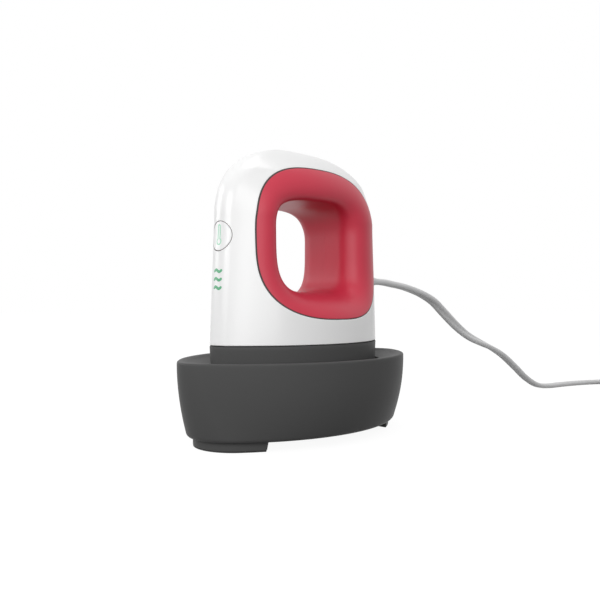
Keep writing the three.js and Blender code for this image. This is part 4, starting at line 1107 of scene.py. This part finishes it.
SILICONE = plastic("silicone", (0.15, 0.15, 0.16), 0.7, grain=0.2, grain_size=0.3, mottle=0.05)
FIBRE = plastic("fibre", (0.68, 0.64, 0.55), 0.95, grain=0.8, grain_size=0.6, mottle=0.12)
BOARD = plastic("circuit_board", (0.02, 0.15, 0.05), 0.4, grain=0.1, grain_size=0.4, mottle=0.1)
CORD = plastic("cord_plastic", (0.72, 0.72, 0.725), 0.45, grain=0.02, grain_size=0.6, mottle=0.01)

# Press pieces
housing = make_piece("housing_shell", housing_parts(), WHITE, None)
cut_with(housing, [drum_x(-52, -37, 0, BUTTON_Z, BUTTON_RADIUS + BUTTON_PLAY)])
cut_with(housing, [drum_x(37, 52, 0, CORD_EXIT[2], CORD_HOLE_RADIUS, 48)])
smooth_shading(housing.data)
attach(housing, "press")
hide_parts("housing")

for side, name in ((-1, "grip_liner_right"), (1, "grip_liner_left")):
    make_piece(name + "_skin", liner_parts(side), RASPBERRY, "press", [name])
# Dark rings in the gaps round the lining and the button: painted shade standing in for the gaps' shadow
for side, name in ((-1, "rim_gap_shade_right"), (1, "rim_gap_shade_left")):
    make_piece(name, rim_gap_shade_parts(side), GAP_SHADE, "press")
make_piece("button_gap_shade", button_gap_shade_parts(), GAP_SHADE, "press")
make_piece("skirt_band", skirt_parts(), CHARCOAL, "press", ["skirt"])
make_piece("pressing_plate", heat_plate_parts(), ALUMINIUM, "press", ["heat_plate"])
make_piece("button_face", button_cap_parts(), WHITE, "button", ["button_cap"])
make_piece("button_mark", icon_parts(), MINT, "button", ["button_icon"])
for number, wave_z in enumerate(WAVE_ZS, 1):
    make_piece(f"wave_window_{number}", wave_parts(wave_z), GREEN, "press",
               [f"wave_light_{number}"])
make_piece("strain_relief", bush_parts(), CORD, "press", ["cord_bush"])

# Base pieces
make_piece("base_bowl", base_shell_parts(), CHARCOAL, "base", ["base_shell"])
make_piece("base_liner", base_well_parts(), CHARCOAL, "base", ["base_well"])
feet = [crescent(end, FOOT, FOOT_PAD_TOP_Z, 5.6, FOOT_START_X, FOOT_LEAN, edge=0.2) for end in (-1, 1)]
cover_plate = flat_lens_block((FOOT[0] - 0.6, FOOT[1] - 0.6, 17.5), 5.2, 7.2)
make_piece("base_underside", [cover_plate, *feet], CHARCOAL, "base", ["base_cover"])
pad_sizes = (FOOT[0] - FOOT_PAD_INSET, FOOT[1] - FOOT_PAD_INSET, FOOT[2])
pad_start_x = FOOT_START_X + FOOT_LEAN + FOOT_PAD_INSET
for end, name in ((-1, "foot_pad_front"), (1, "foot_pad_rear")):
    pad = crescent(end, pad_sizes, 0, FOOT_PAD_TOP_Z, pad_start_x, edge=0.3)
    make_piece(name + "_grip", [pad], RUBBER, "base", [name])
for end, name in ((-1, "rest_pad_front"), (1, "rest_pad_rear")):
    pad = crescent(end, (39.5, 22.5, 8), WELL_FLOOR_Z, 17, 27, edge=0.3)
    make_piece(name + "_rib", [pad], SILICONE, "base", [name])

# Cord, from its exit to its plug, as one piece
run_line = centripetal_curve(CORD_ROUTE, 10)
run_length = line_length(run_line)
coil_line, coil_centre_x, coil_outer, coil_inner = coil_points(run_length)
cord_line = run_line + coil_line
cord_shape = cord_parts(cord_line, run_length)
cord = make_piece("mains_cord", cord_shape, CORD, None, ["cord_run", "cord_coil"])
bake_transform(cord)
tail = cord_line[-1]
plug = make_piece("plug_shell", plug_parts(tail), CORD, "base", ["plug_body"])
for number, side in ((1, -1), (2, 1)):
    blade = make_piece(f"blade_{number}", blade_parts(tail, side), BRASS, "base",
                       [f"plug_blade_{number}"])
tie_shape = tie_parts(coil_centre_x, coil_outer, coil_inner)
tie = make_piece("strap", tie_shape, RUBBER, "base", ["cord_tie"])

# Camera
forward = Vector((math.sin(CAMERA_YAW) * math.cos(CAMERA_PITCH),
                  math.cos(CAMERA_YAW) * math.cos(CAMERA_PITCH), math.sin(CAMERA_PITCH)))
level_right = Vector((math.cos(CAMERA_YAW), -math.sin(CAMERA_YAW), 0))
level_up = level_right.cross(forward)
right = level_right * math.cos(CAMERA_ROLL) + level_up * math.sin(CAMERA_ROLL)
up = level_up * math.cos(CAMERA_ROLL) - level_right * math.sin(CAMERA_ROLL)
camera_data = bpy.data.cameras.new("camera")
camera_data.sensor_width = SENSOR
camera_data.sensor_fit = "HORIZONTAL"
camera_data.lens = FOCAL_PIXELS / FRAME_PIXELS * SENSOR
camera_data.clip_start = 0.01
camera_data.clip_end = 20
camera = add_object("camera", camera_data)
rotation = Matrix((right, up, -forward)).transposed().to_4x4()
camera.matrix_world = Matrix.Translation(Vector(CAMERA_PLACE) * MM) @ rotation
bpy.context.scene.camera = camera

# Floor, background and lights
HALF_FLOOR = 4.0
FLOOR_GREY = 0.15
FLOOR_LIFT = 0.93
WORLD_LIGHT = 0.48
WORLD_SEEN = 1.0
LAMP_TARGET = Vector((0, 0, 0.06))


def add_light_path_mix(nodes, links):
    """1 for rays from the camera, a reflection or a see-through piece, 0 for light that bounces."""
    path = nodes.new("ShaderNodeLightPath")
    seen = path.outputs["Is Camera Ray"]
    for ray in ("Is Glossy Ray", "Is Transmission Ray"):
        either = nodes.new("ShaderNodeMath")
        either.operation = "MAXIMUM"
        links.new(seen, either.inputs[0])
        links.new(path.outputs[ray], either.inputs[1])
        seen = either.outputs["Value"]
    return seen


floor_mesh = bpy.data.meshes.new("floor")
floor_mesh.from_pydata([(-HALF_FLOOR, -HALF_FLOOR, 0), (HALF_FLOOR, -HALF_FLOOR, 0),
                        (HALF_FLOOR, HALF_FLOOR, 0), (-HALF_FLOOR, HALF_FLOOR, 0)], [], [(0, 1, 2, 3)])
floor = add_object("floor", floor_mesh)
floor_material, nodes, links = new_material("floor")
shader = nodes["Principled BSDF"]
shader.inputs["Base Color"].default_value = (FLOOR_GREY, FLOOR_GREY, FLOOR_GREY, 1)
shader.inputs["Roughness"].default_value = 0.9
shader.inputs["Specular IOR Level"].default_value = 0.0
lift = nodes.new("ShaderNodeEmission")
lift.inputs["Strength"].default_value = FLOOR_LIFT
lifted = nodes.new("ShaderNodeAddShader")
choose = nodes.new("ShaderNodeMixShader")
links.new(shader.outputs["BSDF"], lifted.inputs[0])
links.new(lift.outputs["Emission"], lifted.inputs[1])
links.new(add_light_path_mix(nodes, links), choose.inputs["Fac"])
links.new(shader.outputs["BSDF"], choose.inputs[1])
links.new(lifted.outputs["Shader"], choose.inputs[2])
links.new(choose.outputs["Shader"], nodes["Material Output"].inputs["Surface"])
floor_mesh.materials.append(floor_material)

world = bpy.data.worlds.new("studio")
bpy.context.scene.world = world
world.use_nodes = True
nodes, links = world.node_tree.nodes, world.node_tree.links
background = nodes["Background"]
background.inputs["Color"].default_value = (1, 1, 1, 1)
strength = nodes.new("ShaderNodeMix")
strength.data_type = "FLOAT"
strength.inputs["A"].default_value = WORLD_LIGHT
strength.inputs["B"].default_value = WORLD_SEEN
links.new(add_light_path_mix(nodes, links), strength.inputs["Factor"])
links.new(strength.outputs["Result"], background.inputs["Strength"])


def add_softbox(name, place, size, watts):
    """Square area light at a place, in metres, turned to the object."""
    data = bpy.data.lights.new(name, "AREA")
    data.shape = "SQUARE"
    data.size = size
    data.energy = watts
    lamp = add_object(name, data)
    lamp.location = place
    to_object = LAMP_TARGET - Vector(place)
    lamp.rotation_euler = to_object.to_track_quat("-Z", "Y").to_euler()


add_softbox("front_end", (-1.034, 0.0, 0.406), 0.5, 2.8)
add_softbox("front_corner", (-0.951, -0.549, 0.088), 0.5, 0.65)
add_softbox("near_corner", (-0.48, -0.55, 0.32), 0.6, 2.35)
add_softbox("left_side", (-0.517, 0.895, 0.406), 0.5, 1.8)
add_softbox("above", (0.0, 0.0, 1.15), 0.6, 2.0)

# CAD pieces that keep their own shape
KEPT = {
    "green_light": (GREEN, ["lamp_strip"]),
    "fibre": (FIBRE, ["insulation_pad"]),
    "circuit_board": (BOARD, ["control_board", "indicator_board"]),
    "brass": (BRASS, ["thermistor"]),
    "dark_plastic": (DARK, ["relay", "capacitor", "switch_body", "switch_plunger", "cord_clamp"]),
    "silicone": (SILICONE, ["terminal_block"]),
    "cord_plastic": (CORD, ["element_lead_1", "element_lead_2", "cord_inner_end"]),
}
kept_names = {name for _, names in KEPT.values() for name in names}
for material, names in KEPT.values():
    for name in names:
        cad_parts[name].data.materials.clear()
        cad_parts[name].data.materials.append(material)
for name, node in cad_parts.items():
    if name not in kept_names and not node.hide_render:
        node.data.materials.clear()
        node.data.materials.append(STEEL)

bpy.context.scene.view_settings.view_transform = "Standard"
